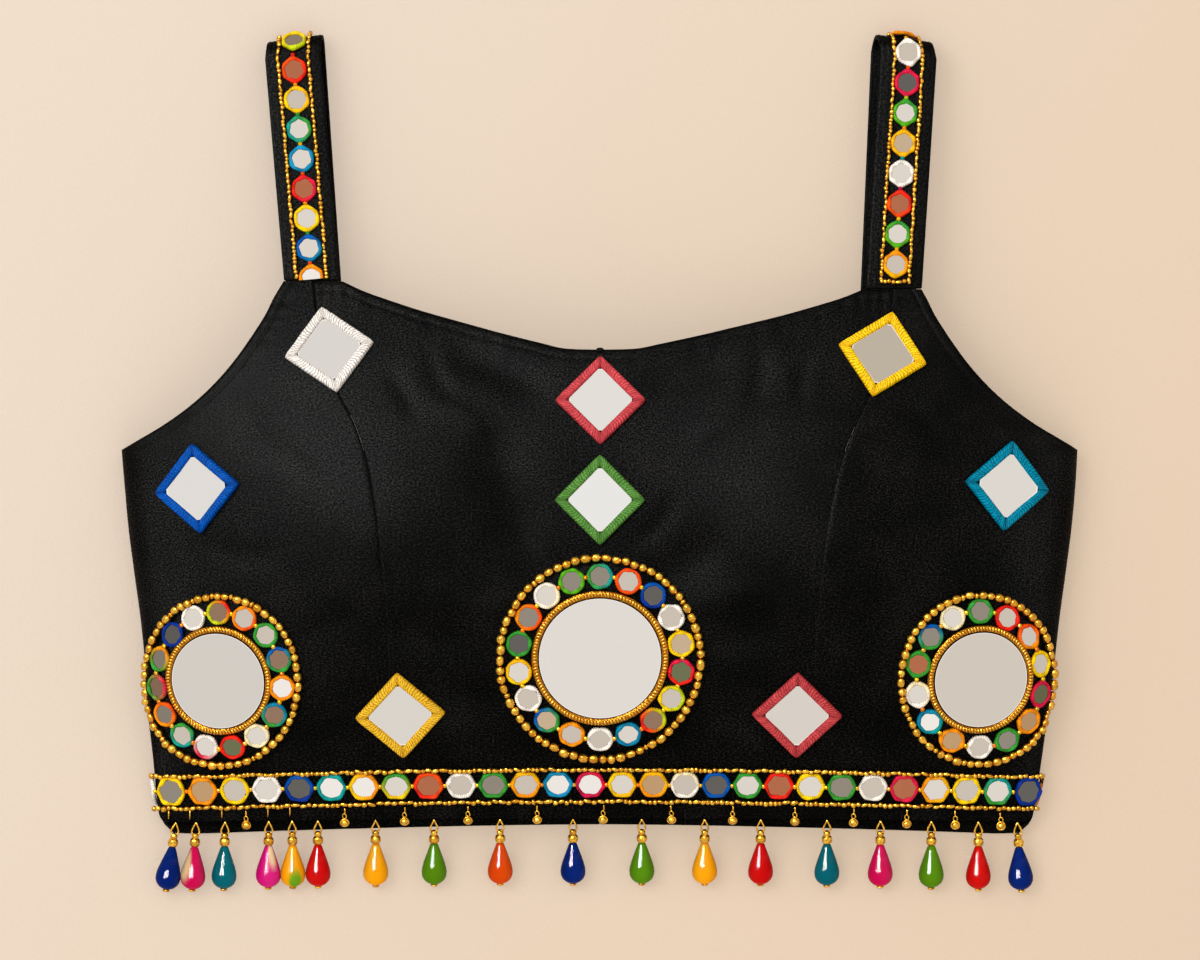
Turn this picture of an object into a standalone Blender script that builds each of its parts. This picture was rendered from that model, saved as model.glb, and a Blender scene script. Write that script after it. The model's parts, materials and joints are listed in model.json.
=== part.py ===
# A choli blouse of black cloth with mirror work, lying face up on a flat surface.
# X runs across the blouse, Y from the hem up to the straps, and Z up off the surface. Metres.
#
# The front stands up over its bust cups as a hollow shell. The low back lies flat beneath it and
# curls up to meet it along the side seams. Each strap is a loop from the front over to the back.
# Whatever is sewn on is shaped from points of the cloth's own outer side, moved out along its normal.

from functools import lru_cache
from math import asin, atan2, cos, exp, pi, radians, sin, sqrt

import bmesh
import bpy
from mathutils import Matrix, Vector

# --- Driving dimensions ---------------------------------------------------------------------------

CLOTH = 0.0016            # wall of a panel, cotton over its lining
STRAP_CLOTH = 0.0020      # wall of a strap, a strip folded in four
SEAM_GAP = 0.0003         # pieces lie this far apart along a seam
LIFT = 0.0004             # what is sewn on lies this far off the cloth
CURL = 0.0052             # radius of the back's roll up to a side seam
UPRIGHT = 0.0008          # back and front stand upright this far on either side of the seam
BACK_EDGE_Z = CURL + UPRIGHT
FRONT_EDGE_Z = BACK_EDGE_Z + SEAM_GAP
DOME_Z = FRONT_EDGE_Z + UPRIGHT  # the front's own curve starts here

HEM_Y = -0.1650           # front hem at the centre line
HEM_DIP = 0.0016          # the front hem's corners lie this much lower
BACK_HEM_Y = -0.1680      # back hem at the centre line
BACK_HEM_DIP = 0.0042     # the back hem's corners lie this much lower
HEM_REACH = 0.1900        # distance of those corners from the centre line
BACK_TOP_Y = 0.0035       # straight top edge of the low back
UNDERARM_Y = 0.0039       # where side seam and armhole meet
NECK_Y = 0.0497           # lowest point of the neckline
STRAP_BASE_Y = (0.0812, 0.0775)  # seam of the left and the right strap on the front
STRAP_INNER = 0.9         # a strap's inner corner, as a share of the way to the princess seam
SEAM_INNER = 0.5          # a side front's columns are spaced as from this share of the half width

LEFT, RIGHT = 0, 1
SIGN = (-1, 1)

# Half widths of the blouse from the centre line, the folded side edges.
SIDE_OUTLINE = (  # y, left, right
    (-0.1722, 0.1955, 0.1920),
    (-0.1703, 0.1985, 0.1948),
    (-0.1666, 0.2005, 0.1975),
    (-0.1634, 0.2024, 0.1988),
    (-0.1359, 0.2053, 0.2030),
    (-0.1153, 0.2076, 0.2058),
    (-0.0946, 0.2088, 0.2085),
    (-0.0740, 0.2108, 0.2108),
    (-0.0534, 0.2136, 0.2136),
    (-0.0328, 0.2163, 0.2163),
    (-0.0121, 0.2182, 0.2182),
    (0.0039, 0.2195, 0.2191),
    (0.0400, 0.2215, 0.2210),
    (0.0850, 0.2220, 0.2215),
)

# Distance of the princess seams from the centre line.
PRINCESS_SEAM = (  # y, left, right
    (-0.1670, 0.0993, 0.0993),
    (-0.0960, 0.0967, 0.0976),
    (-0.0584, 0.0990, 0.1008),
    (-0.0433, 0.1004, 0.1024),
    (-0.0259, 0.1022, 0.1050),
    (-0.0144, 0.1040, 0.1072),
    (-0.0002, 0.1068, 0.1107),
    (0.0163, 0.1123, 0.1173),
    (0.0291, 0.1192, 0.1235),
    (0.0497, 0.1262, 0.1300),
    (0.0681, 0.1298, 0.1333),
    (0.0814, 0.1313, 0.1345),
)

ARMHOLE = (  # y, distance from the centre line
    (0.0039, 0.2195),
    (0.0076, 0.2130),
    (0.0149, 0.2005),
    (0.0222, 0.1900),
    (0.0296, 0.1812),
    (0.0369, 0.1740),
    (0.0442, 0.1678),
    (0.0516, 0.1624),
    (0.0589, 0.1575),
    (0.0662, 0.1530),
    (0.0736, 0.1494),
    (0.0810, 0.1450),
)

NECKLINE = (  # share of the way out to the strap, share of the climb to its seam
    (0.00, 0.000),
    (0.14, 0.020),
    (0.22, 0.090),
    (0.38, 0.240),
    (0.53, 0.395),
    (0.69, 0.565),
    (0.84, 0.750),
    (0.92, 0.860),
    (1.00, 1.000),
)

# How far the front stands up over its side seams, along the centre line.
FRONT_RISE = (  # y, rise
    (-0.1680, 0.0065),
    (-0.1500, 0.0168),
    (-0.1250, 0.0285),
    (-0.0900, 0.0385),
    (-0.0450, 0.0430),
    (0.0000, 0.0425),
    (0.0400, 0.0350),
    (0.0830, 0.0205),
)

CUP_RISE = 0.0075         # each bust cup stands this much higher still
CUP_X, CUP_Y = 0.1010, -0.0360
CUP_SPREAD_X, CUP_SPREAD_Y = 0.0520, 0.0500

# The largest soft troughs in the front. Angles are measured from +X towards +Y.
FOLDS = (  # x, y, angle, length, width, depth
    (-0.0480, 0.0405, 158, 0.046, 0.0080, 0.0014),
    (-0.0410, -0.0140, 114, 0.058, 0.0130, 0.0024),
    (-0.0800, -0.0800, -12, 0.044, 0.0090, 0.0014),
    (0.0400, 0.0385, 18, 0.040, 0.0080, 0.0012),
    (0.0400, -0.0480, 32, 0.036, 0.0100, 0.0016),
    (0.0640, -0.0800, 8, 0.042, 0.0090, 0.0014),
    (0.1520, -0.0560, -35, 0.040, 0.0110, 0.0013),
)

# --- Sewn-on pieces -------------------------------------------------------------------------------

DIAMOND_HALF = 0.0149     # centre of a diamond to the outer edge of a bar
DIAMOND_BAR = 0.0048      # width of the wrapped bar
DIAMOND_HEIGHT = 0.0030
DIAMOND_MIRROR = 0.0014   # thickness of the square mirror inside
ROUND_MIRROR = 0.0020     # thickness of a medallion's round mirror

DIAMONDS = (  # name, x, y, turn, colour
    ("white", -0.1238, 0.0495, 10, (0.80, 0.78, 0.72)),
    ("yellow", 0.1292, 0.0474, -13, (0.86, 0.55, 0.03)),
    ("crimson", 0.0002, 0.0264, 0, (0.66, 0.03, 0.12)),
    ("green", 0.0000, -0.0190, 0, (0.06, 0.42, 0.10)),
    ("blue", -0.1843, -0.0138, 6, (0.03, 0.09, 0.45)),
    ("teal", 0.1863, -0.0126, -6, (0.02, 0.33, 0.36)),
    ("ochre", -0.0913, -0.1172, 4, (0.80, 0.46, 0.03)),
    ("pink", 0.0901, -0.1171, -1, (0.72, 0.05, 0.22)),
)

MEDALLIONS = (  # name, x, y, mirror radius, bezel tube, chain radius, chain half width, mirrors,
                # bead ring radius, bead radius, beads
    ("centre", 0.0000, -0.0914, 0.0279, 0.0017, 0.0377, 0.0055, 18, 0.0457, 0.0020, 60),
    ("left", -0.1742, -0.1020, 0.0220, 0.0016, 0.0311, 0.0049, 15, 0.0383, 0.0018, 52),
    ("right", 0.1737, -0.1013, 0.0220, 0.0016, 0.0311, 0.0049, 14, 0.0383, 0.0018, 52),
)
SEAT_FLAT = 1.05          # the cloth is drawn flat under a medallion's mirror to this many radii
SEAT_FADE = 1.75          # and takes up its own form again by this many

BEAD_WAIST = 0.45         # a bead ring narrows to this share between two beads

CHAIN_HEIGHT = 0.0018     # thickness of a thread-framed mirror
LINK_HALF = 0.0009        # half width of the link between two mirrors
SHOULDER = 0.27           # a mirror is at its full width this share of a pitch from its link

BAND_MID_Y = -0.1496      # centre of the hem band's mirrors, at the centre line
BAND_UPPER_Y = -0.1421    # its upper and lower bead rows
BAND_LOWER_Y = -0.1571
BAND_DIP = 0.0038         # the band's ends lie this much lower, on the side seams
BAND_HALF = 0.0060        # half height of a band mirror
BAND_PITCH = (0.01482, 0.01436)  # left and right of the centre line
BAND_START = 0.0030       # the link nearest to the centre line lies this far right of it
BAND_LINKS = 15           # further links on either side of it
BAND_WRAP = 0.0025        # the band runs on past each side seam by this
CORD_HALF = 0.0010        # half thickness of a row of small beads
CORD_STEPS = 48
STEM_HALF = 0.0006        # half width of a dangler's stem at the bead row
STEM_ROOM = 0.0030        # the row has no other station this near to a stem
DANGLER_STEPS = (  # distance down from the bead row, half size, height of the middle over the cloth
    (0.0052, 0.0005, 0.0018),
    (0.0062, 0.0014, 0.0024),
    (0.0075, 0.0020, 0.0026),
    (0.0088, 0.0014, 0.0026),
    (0.0094, 0.0006, 0.0026),
)

STRAP_HALF = 0.0129       # half width of a strap
STRAP_BEND = 0.0080       # outer radius of a strap's bend at the shoulder
STRAP_TOP_Y = 0.1928
STRAP_FOLD_TILT = 0.14    # the bend's line falls outwards by this slope
STRAPS = (  # x at the front seam, before the bend, after the bend, at the back's top edge
    (-0.1320, -0.1408, -0.1389, -0.1262),
    (0.1347, 0.1416, 0.1372, 0.1292),
)
STRAP_ROW_OUT = 0.0069    # bead rows lie this far from a strap's middle
STRAP_CORD_HALF = 0.0008
STRAP_CHAIN_HALF = 0.0056
STRAP_CHAIN = (  # first link from the front seam, pitch
    (-0.0058, 0.01375),
    (0.0040, 0.01400),
)
STRAP_TRIM_END = 2.15     # the trim ends this far round the bend, in radians
STRAP_ROW_START = (0.0006, 0.0030)  # bead rows start this far up from the left and the right front seam
STRAP_LINKS = 11
STRAP_ROW_STEPS = 8       # stations of a bead row before its bend, and as many round it

DANGLER_XS = (
    -0.1622, -0.1169, -0.0894, -0.0605, -0.0289, 0.0018, 0.0325,
    0.0610, 0.0894, 0.1164, 0.1407, 0.1627, 0.1833,
)

DROP_SIDES = 6
DROP_PROFILE = (  # distance down from the loop's top, radius
    (0.0000, 0.0000),
    (0.0000, 0.0008),
    (0.0040, 0.0008),
    (0.0054, 0.0015),
    (0.0068, 0.0009),
    (0.0092, 0.0023),
    (0.0115, 0.0012),
    (0.0172, 0.0033),
    (0.0226, 0.0050),
    (0.0257, 0.0054),
    (0.0290, 0.0042),
    (0.0309, 0.0012),
    (0.0319, 0.0009),
    (0.0319, 0.0000),
)
DROP_BELLY, DROP_RADIUS = 0.0257, 0.0054
DROP_CLEAR = 0.0002       # a drop's belly lies this far off the surface
DROP_HANG = 0.0007        # its loop starts this far outside the hem

DROPS = (  # x of the loop, splay outwards in degrees, colour
    (-0.1946, -8.4, (0.02, 0.04, 0.30)),
    (-0.1853, -3.6, (0.62, 0.03, 0.20)),
    (-0.1720, -1.3, (0.01, 0.22, 0.28)),
    (-0.1519, -0.8, (0.62, 0.02, 0.30)),
    (-0.1412, 0.6, (0.80, 0.36, 0.02)),
    (-0.1294, 0.0, (0.60, 0.01, 0.02)),
    (-0.1029, 0.0, (0.85, 0.42, 0.02)),
    (-0.0761, 0.0, (0.08, 0.34, 0.03)),
    (-0.0458, 0.0, (0.78, 0.12, 0.02)),
    (-0.0124, 0.0, (0.02, 0.04, 0.30)),
    (0.0192, 0.0, (0.08, 0.34, 0.03)),
    (0.0480, 0.0, (0.85, 0.42, 0.02)),
    (0.0737, 0.0, (0.60, 0.01, 0.02)),
    (0.1041, 0.0, (0.01, 0.22, 0.28)),
    (0.1286, 0.0, (0.62, 0.03, 0.16)),
    (0.1520, 0.0, (0.08, 0.34, 0.03)),
    (0.1736, 0.0, (0.60, 0.02, 0.08)),
    (0.1915, 3.5, (0.02, 0.04, 0.30)),
)

# --- Grid sizes -----------------------------------------------------------------------------------

SECTION_STEPS = 48        # steps from the centre line to a side seam in which arc lengths are taken
CENTRE_COLUMNS = 20
SIDE_COLUMNS = 10
ROUND_SIDES, BEZEL_SIDES = 24, 28
SIDE_ROWS, ARMHOLE_ROWS = 13, 8
UNDERARM_SHARE = 0.61     # share of the front's height at which the side seam ends
BACK_COLUMNS, CURL_COLUMNS, BACK_ROWS = 6, 4, 9
STRAP_FRONT_ROWS, STRAP_BEND_ROWS, STRAP_REAR_ROWS = 9, 8, 8

BLACK = (0.012, 0.012, 0.013)
GOLD = (0.72, 0.45, 0.12)
THREAD = (0.45, 0.25, 0.12)


# --- Helpers --------------------------------------------------------------------------------------

def mix(a, b, share):
    return a + (b - a) * share


def read(table, column, at):
    """A column of a table, read on a smooth curve through its rows."""
    last = len(table) - 1
    if at <= table[0][0]:
        return table[0][column]
    if at >= table[last][0]:
        return table[last][column]
    row = next(i for i in range(last) if at <= table[i + 1][0])

    def slope(i):
        before, after = table[max(i - 1, 0)], table[min(i + 1, last)]
        return (after[column] - before[column]) / (after[0] - before[0])

    low, high = table[row], table[row + 1]
    span = high[0] - low[0]
    s = (at - low[0]) / span
    return (
        low[column] * (1 + 2 * s) * (1 - s) ** 2
        + slope(row) * span * s * (1 - s) ** 2
        + high[column] * s * s * (3 - 2 * s)
        - slope(row + 1) * span * s * s * (1 - s)
    )


def finish(name, colour, roughness, metallic=0.0):
    """A plain material."""
    material = bpy.data.materials.get(name) or bpy.data.materials.new(name)
    material.use_nodes = True
    shader = material.node_tree.nodes["Principled BSDF"]
    shader.inputs["Base Color"].default_value = (*colour, 1)
    shader.inputs["Roughness"].default_value = roughness
    shader.inputs["Metallic"].default_value = metallic
    return material


def keep(name, bm, material):
    """Turn a bmesh into a named object of the blouse."""
    mesh = bpy.data.meshes.new(name)
    bm.to_mesh(mesh)
    bm.free()
    mesh.materials.append(material)
    piece = bpy.data.objects.new(name, mesh)
    blouse.objects.link(piece)
    return piece


# --- The cloth's form -----------------------------------------------------------------------------

def half_width(side, y):
    return read(SIDE_OUTLINE, 1 + side, y)


def dome(x, y):
    """Height of the front's outer side before it is creased or drawn flat."""
    side = LEFT if x < 0 else RIGHT
    out = min(abs(x) / half_width(side, y), 1)
    cup = exp(-((abs(x) - CUP_X) / CUP_SPREAD_X) ** 2 - ((y - CUP_Y) / CUP_SPREAD_Y) ** 2)
    return DOME_Z + (read(FRONT_RISE, 1, y) + CUP_RISE * cup) * sqrt(max(0, 1 - out ** 3))


def seat_slopes(x, y, step=0.004):
    return (
        (dome(x + step, y) - dome(x - step, y)) / (2 * step),
        (dome(x, y + step) - dome(x, y - step)) / (2 * step),
    )


SEATS = [
    (x, y, radius, dome(x, y), *seat_slopes(x, y))
    for _, x, y, radius, *_ in MEDALLIONS
]


def height(x, y):
    """Height of the front's outer side over the surface."""
    z = dome(x, y)
    for seat_x, seat_y, radius, seat_z, slope_x, slope_y in SEATS:
        dx, dy = x - seat_x, y - seat_y
        away = sqrt((dx * dx * (1 + slope_x ** 2)) + dy * dy) / radius
        share = (SEAT_FADE - away) / (SEAT_FADE - SEAT_FLAT)
        if share > 0:
            share = min(share, 1)
            z = mix(z, seat_z + slope_x * dx + slope_y * dy, share * share * (3 - 2 * share))
    for fold_x, fold_y, angle, length, width, depth in FOLDS:
        dx, dy = x - fold_x, y - fold_y
        turn = radians(angle)
        along = (dx * cos(turn) + dy * sin(turn)) / (length / 2)
        across = (dy * cos(turn) - dx * sin(turn)) / width
        z -= depth * exp(-across ** 2 - along ** 4)
    return z


def surface(side, angle, y):
    """The outer side across the blouse: 0 at the centre line, pi/2 at the side seam, then the curl."""
    half = half_width(side, y)
    if angle <= pi / 2:
        x = SIGN[side] * half * abs(sin(angle)) ** (2 / 3)
        return Vector((x, y, height(x, y)))
    past = (angle - pi / 2) * CURL
    if past < DOME_Z - CURL:
        return Vector((SIGN[side] * half, y, DOME_Z - past))
    turn = (past - (DOME_Z - CURL)) / CURL
    return Vector((SIGN[side] * (half - CURL + CURL * cos(turn)), y, CURL - CURL * sin(turn)))


@lru_cache(maxsize=None)
def section(side, y):
    """Arc lengths along the outer side at y, for equal steps of the angle."""
    arcs = [0.0]
    last = surface(side, 0, y)
    for i in range(1, SECTION_STEPS * 2 + 1):
        point = surface(side, pi / 2 * i / SECTION_STEPS, y)
        arcs.append(arcs[-1] + (point - last).length)
        last = point
    return arcs


def arc_at(x, y):
    """Signed arc length over the cloth from the centre line to x."""
    side = LEFT if x < 0 else RIGHT
    arcs = section(side, y)
    step = asin(min(1, abs(x) / half_width(side, y)) ** 1.5) / (pi / 2) * SECTION_STEPS
    i = min(int(step), SECTION_STEPS - 1)
    # From one step to the next the arc runs as the angle to the power of 2/3.
    share = (step ** (2 / 3) - i ** (2 / 3)) / ((i + 1) ** (2 / 3) - i ** (2 / 3))
    return SIGN[side] * mix(arcs[i], arcs[i + 1], share)


def on_front(arc, y, lift):
    """A point of the front's outer side, by its arc length from the centre line, moved out by lift."""
    side = LEFT if arc < 0 else RIGHT
    arcs = section(side, round(y, 6))
    i = next(i for i in range(len(arcs) - 1) if abs(arc) <= arcs[i + 1])
    share = (abs(arc) - arcs[i]) / (arcs[i + 1] - arcs[i])
    angle = pi / 2 * mix(i ** (2 / 3), (i + 1) ** (2 / 3), share) ** 1.5 / SECTION_STEPS
    turn, step = 0.01, 0.0005
    low = max(angle - turn, 0.0005)
    across = surface(side, angle + turn, y) - surface(side, low, y)
    along = surface(side, angle, y + step) - surface(side, angle, y - step)
    normal = across.cross(along).normalized() * SIGN[side]
    return surface(side, angle, y) + normal * lift


def seam_arc(side, y):
    return SIGN[side] * section(side, round(y, 6))[SECTION_STEPS]


# --- Panels ---------------------------------------------------------------------------------------

def panel(name, columns, rows, place, outer_side_down=False, wall=CLOTH):
    """A wall of cloth. place(column, row) gives a point of its outer side."""
    bm = bmesh.new()
    bmesh.ops.create_grid(bm, x_segments=columns, y_segments=rows, size=1)
    for vert in bm.verts:
        column = round((vert.co.x + 1) / 2 * columns)
        row = round((vert.co.y + 1) / 2 * rows)
        vert.co = place(column, row)
    if outer_side_down:
        bmesh.ops.reverse_faces(bm, faces=bm.faces)
    piece = keep(name, bm, finish("black_cloth", BLACK, 0.85))
    solid = piece.modifiers.new("wall", "SOLIDIFY")
    solid.thickness = wall
    solid.offset = -1
    solid.use_even_offset = True
    return piece


def front_share(row):
    """Share of the front's height at a row of its grid. One row meets the underarm."""
    if row <= SIDE_ROWS:
        return UNDERARM_SHARE * row / SIDE_ROWS
    return mix(UNDERARM_SHARE, 1, (row - SIDE_ROWS) / ARMHOLE_ROWS)


def hem(x):
    return HEM_Y - HEM_DIP * (x / HEM_REACH) ** 2


def princess_point(side, share):
    y = mix(hem(PRINCESS_SEAM[0][1]), STRAP_BASE_Y[side], share)
    return SIGN[side] * read(PRINCESS_SEAM, 1 + side, y), y


def centre_front(column, row):
    share = front_share(row)
    across = 2 * column / CENTRE_COLUMNS - 1
    side = LEFT if across < 0 else RIGHT
    seam_x = abs(princess_point(side, share)[0]) - SEAM_GAP / 2
    climb = read(NECKLINE, 1, min(abs(across) / STRAP_INNER, 1))
    top = mix(NECK_Y, STRAP_BASE_Y[side], climb)
    x = across * seam_x
    y = mix(hem(across * PRINCESS_SEAM[0][1]), top, share)
    return Vector((x, y, height(x, y)))


def side_front(side, out, row):
    """out counts the columns from the princess seam to the side. The last one is the upright edge."""
    share = front_share(row)
    seam_x, seam_y = princess_point(side, share)
    seam_x = abs(seam_x) + SEAM_GAP / 2
    if row <= SIDE_ROWS:
        corner_y = hem(half_width(side, HEM_Y))
        edge_y = mix(corner_y, UNDERARM_Y, row / SIDE_ROWS)
        edge_x = half_width(side, edge_y)
        curved = SIDE_COLUMNS - 1
    else:
        edge_y = mix(UNDERARM_Y, STRAP_BASE_Y[side], (row - SIDE_ROWS) / ARMHOLE_ROWS)
        edge_x = read(ARMHOLE, 1, edge_y)
        curved = SIDE_COLUMNS
    angle = mix(asin(SEAM_INNER ** 1.5), pi / 2, min(1, out / curved))
    spread = (sin(angle) ** (2 / 3) - SEAM_INNER) / (1 - SEAM_INNER)
    x = SIGN[side] * mix(seam_x, edge_x, spread)
    y = mix(seam_y, edge_y, spread)
    return Vector((x, y, FRONT_EDGE_Z if out > curved else height(x, y)))


def back_half(side, out, row):
    """out counts the columns from the centre line. The last one is the upright edge past the curl."""
    guess = half_width(side, BACK_HEM_Y) * min(out / BACK_COLUMNS, 1)
    low = BACK_HEM_Y - BACK_HEM_DIP * min(guess / HEM_REACH, 1) ** 1.5
    y = mix(low, BACK_TOP_Y, row / BACK_ROWS)
    flat = half_width(side, y) - CURL
    if out <= BACK_COLUMNS:
        return Vector((SIGN[side] * mix(SEAM_GAP / 2, flat, out / BACK_COLUMNS), y, 0))
    if out > BACK_COLUMNS + CURL_COLUMNS:
        return Vector((SIGN[side] * (flat + CURL), y, BACK_EDGE_Z))
    turn = pi / 2 * (out - BACK_COLUMNS) / CURL_COLUMNS
    return Vector((SIGN[side] * (flat + CURL * sin(turn)), y, CURL - CURL * cos(turn)))


def make_panels():
    rows = SIDE_ROWS + ARMHOLE_ROWS
    panel("front_centre", CENTRE_COLUMNS, rows, centre_front)
    panel("front_side_left", SIDE_COLUMNS, rows,
          lambda column, row: side_front(LEFT, SIDE_COLUMNS - column, row))
    panel("front_side_right", SIDE_COLUMNS, rows,
          lambda column, row: side_front(RIGHT, column, row))
    columns = BACK_COLUMNS + CURL_COLUMNS + 1
    panel("back_left", columns, BACK_ROWS,
          lambda column, row: back_half(LEFT, columns - column, row), outer_side_down=True)
    panel("back_right", columns, BACK_ROWS,
          lambda column, row: back_half(RIGHT, column, row), outer_side_down=True)


# --- Straps ---------------------------------------------------------------------------------------

def strap_run(side):
    """Stations along a strap's outer side: middle point, and the slope of its width in Y and in Z."""
    base_x, bend_x, over_x, rear_x = STRAPS[side]
    base_y = STRAP_BASE_Y[side] + SEAM_GAP
    bend_y = STRAP_TOP_Y - STRAP_BEND
    rear_y = BACK_TOP_Y + SEAM_GAP
    base_z = height(base_x, STRAP_BASE_Y[side])
    base_tilt = (height(base_x + STRAP_HALF, STRAP_BASE_Y[side])
                 - height(base_x - STRAP_HALF, STRAP_BASE_Y[side])) / (2 * STRAP_HALF)
    fold_tilt = -SIGN[side] * STRAP_FOLD_TILT
    stations = []
    for i in range(STRAP_FRONT_ROWS):
        share = i / STRAP_FRONT_ROWS
        middle = Vector((mix(base_x, bend_x, share), mix(base_y, bend_y, share),
                         mix(base_z, 2 * STRAP_BEND, share)))
        stations.append((middle, fold_tilt * share, base_tilt * max(0, 1 - 3 * share)))
    for i in range(STRAP_BEND_ROWS + 1):
        turn = pi * i / STRAP_BEND_ROWS
        middle = Vector((mix(bend_x, over_x, i / STRAP_BEND_ROWS),
                         bend_y + STRAP_BEND * sin(turn), STRAP_BEND * (1 + cos(turn))))
        stations.append((middle, fold_tilt, 0))
    for i in range(1, STRAP_REAR_ROWS + 1):
        share = i / STRAP_REAR_ROWS
        middle = Vector((mix(over_x, rear_x, share), mix(bend_y, rear_y, share), 0))
        stations.append((middle, fold_tilt * (1 - share), 0))
    return stations


STRAP_RUNS = [strap_run(LEFT), strap_run(RIGHT)]


def strap_length(side, station):
    run = STRAP_RUNS[side]
    return sum((run[i + 1][0] - run[i][0]).length for i in range(station))


def on_strap(side, along, across, lift):
    """A point of a strap's outer side, by its distance from the front seam and from the middle."""
    run = STRAP_RUNS[side]
    i = 0
    start = 0
    while i < len(run) - 2:
        length = (run[i + 1][0] - run[i][0]).length
        if along <= start + length:
            break
        start += length
        i += 1
    share = (along - start) / (run[i + 1][0] - run[i][0]).length

    def station_normal(n):
        before, after = run[max(n - 1, 0)][0], run[min(n + 1, len(run) - 1)][0]
        width = Vector((1, run[n][1], run[n][2]))
        return width.cross(after - before).normalized()

    (a, a_y, a_z), (b, b_y, b_z) = run[i], run[i + 1]
    width = Vector((1, mix(a_y, b_y, share), mix(a_z, b_z, share)))
    normal = station_normal(i).lerp(station_normal(i + 1), share).normalized()
    return a.lerp(b, share) + width * across + normal * lift


def make_straps():
    for side, name in ((LEFT, "strap_left"), (RIGHT, "strap_right")):
        run = STRAP_RUNS[side]
        panel(name, 2, len(run) - 1, lambda column, row, run=run: (
            run[row][0] + Vector((1, run[row][1], run[row][2])) * (column - 1) * STRAP_HALF
        ), wall=STRAP_CLOTH)


# --- Strips that follow the cloth -----------------------------------------------------------------

BOX = ((-1, 0), (1, 0), (1, 1), (-1, 1))
ROUND = ((-1, 0.5), (0, 0), (1, 0.5), (0, 1))
CUSHION = ((-1, 0), (1, 0), (1, 0.6), (0, 1), (-1, 0.6))


def crown(place, a, b, low):
    """How far the cloth stands above a straight line between two of its points, and its normal."""
    middle = place((a[0] + b[0]) / 2, (a[1] + b[1]) / 2, low)
    normal = (place((a[0] + b[0]) / 2, (a[1] + b[1]) / 2, low + 0.001) - middle).normalized()
    return (middle - (place(*a, low) + place(*b, low)) / 2).dot(normal)


def cuts_in(place, a, b):
    """Whether a straight step between two stations would cut into the curved cloth."""
    run = (Vector(b[:2]) - Vector(a[:2])).normalized()
    for out in (-1, 0, 1):
        ends = [(u + run.y * half * out, v - run.x * half * out) for u, v, half, *_ in (a, b)]
        if crown(place, *ends, a[3]) > LIFT / 3:
            return True
    return False


def finer(place, stations, closed):
    """Add stations wherever a straight step would cut into the cloth."""
    while True:
        pairs = list(zip(stations, stations[1:] + stations[:1] if closed else stations[1:]))
        halved = []
        for a, b in pairs:
            halved.append(a)
            if cuts_in(place, a, b):
                halved.append(tuple(mix(p, q, 0.5) for p, q in zip(a, b)))
        if not closed:
            halved.append(stations[-1])
        if len(halved) == len(stations):
            return stations
        stations = halved


def strip(name, place, stations, profile, material, closed=False):
    """A solid along the cloth. place(u, v, lift) gives a point; a station is u, v, half, low, high."""
    stations = finer(place, stations, closed)
    count = len(stations)
    rings = []
    bm = bmesh.new()
    for i, (u, v, half, low, high) in enumerate(stations):
        here = Vector((u, v))
        before = Vector(stations[(i - 1) % count][:2]) if closed or i else here
        after = Vector(stations[(i + 1) % count][:2]) if closed or i < count - 1 else here
        run_in, run_out = (here - before).normalized(), (after - here).normalized()
        run = (run_in + run_out).normalized()
        mitre = 1 / max(0.5, run.dot(run_out if run_out.length else run_in))
        side = Vector((run.y, -run.x)) * half * mitre
        stiff = max(0, crown(place, here - side, here + side, low))
        rings.append([
            bm.verts.new(place(u + side.x * out, v + side.y * out, mix(low, high, up) + stiff))
            for out, up in profile
        ])
    for i in range(count if closed else count - 1):
        ring, following = rings[i], rings[(i + 1) % count]
        for k in range(len(profile)):
            n = (k + 1) % len(profile)
            bm.faces.new((ring[k], ring[n], following[n], following[k]))
    if not closed:
        bm.faces.new(rings[0])
        bm.faces.new(rings[-1])
    bmesh.ops.recalc_face_normals(bm, faces=bm.faces)
    return keep(name, bm, material)


def chain_stations(links, half, v=lambda u: 0, ends=None):
    """Stations of a chain of mirrors between its links. ends cuts it short, through its end mirrors."""
    stations = []
    for i, (a, b) in enumerate(zip(links, links[1:])):
        for share, width in ((0, LINK_HALF), (SHOULDER, half), (1 - SHOULDER, half)):
            stations.append((mix(a, b, share), width))
    stations.append((links[-1], LINK_HALF))
    if ends:
        first, last = ends
        stations = [(u, width) for u, width in stations if first < u < last]
        stations = [(first, half)] + stations + [(last, half)]
    return [(u, v(u), width, LIFT, LIFT + CHAIN_HEIGHT) for u, width in stations]


# --- Diamonds and medallions ----------------------------------------------------------------------

def patch(x, y, turn=0):
    """Local coordinates on the cloth round a point: du and dv run over the cloth, turned by turn."""
    c, s = cos(radians(turn)), sin(radians(turn))
    reach = 0.006
    rise = height(x, y + reach) - height(x, y - reach)
    lean = cos(atan2(rise, 2 * reach))

    def place(du, dv, lift):
        at = y + (du * s + dv * c) * lean
        return on_front(arc_at(x, round(at, 6)) + du * c - dv * s, at, lift)

    return place


def flat_seat(place, reach, low):
    """A frame for a stiff plate over a patch: its middle, across, up and normal, clear by low."""
    rim = [place(reach * cos(pi * i / 6), reach * sin(pi * i / 6), 0) for i in range(12)]
    across = (rim[0] - rim[6]).normalized()
    normal = across.cross(rim[3] - rim[9]).normalized()
    middle = place(0, 0, 0)
    tallest = max((point - middle).dot(normal) for point in [*rim, middle])
    return middle + normal * (tallest + low), across, normal.cross(across), normal


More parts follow.
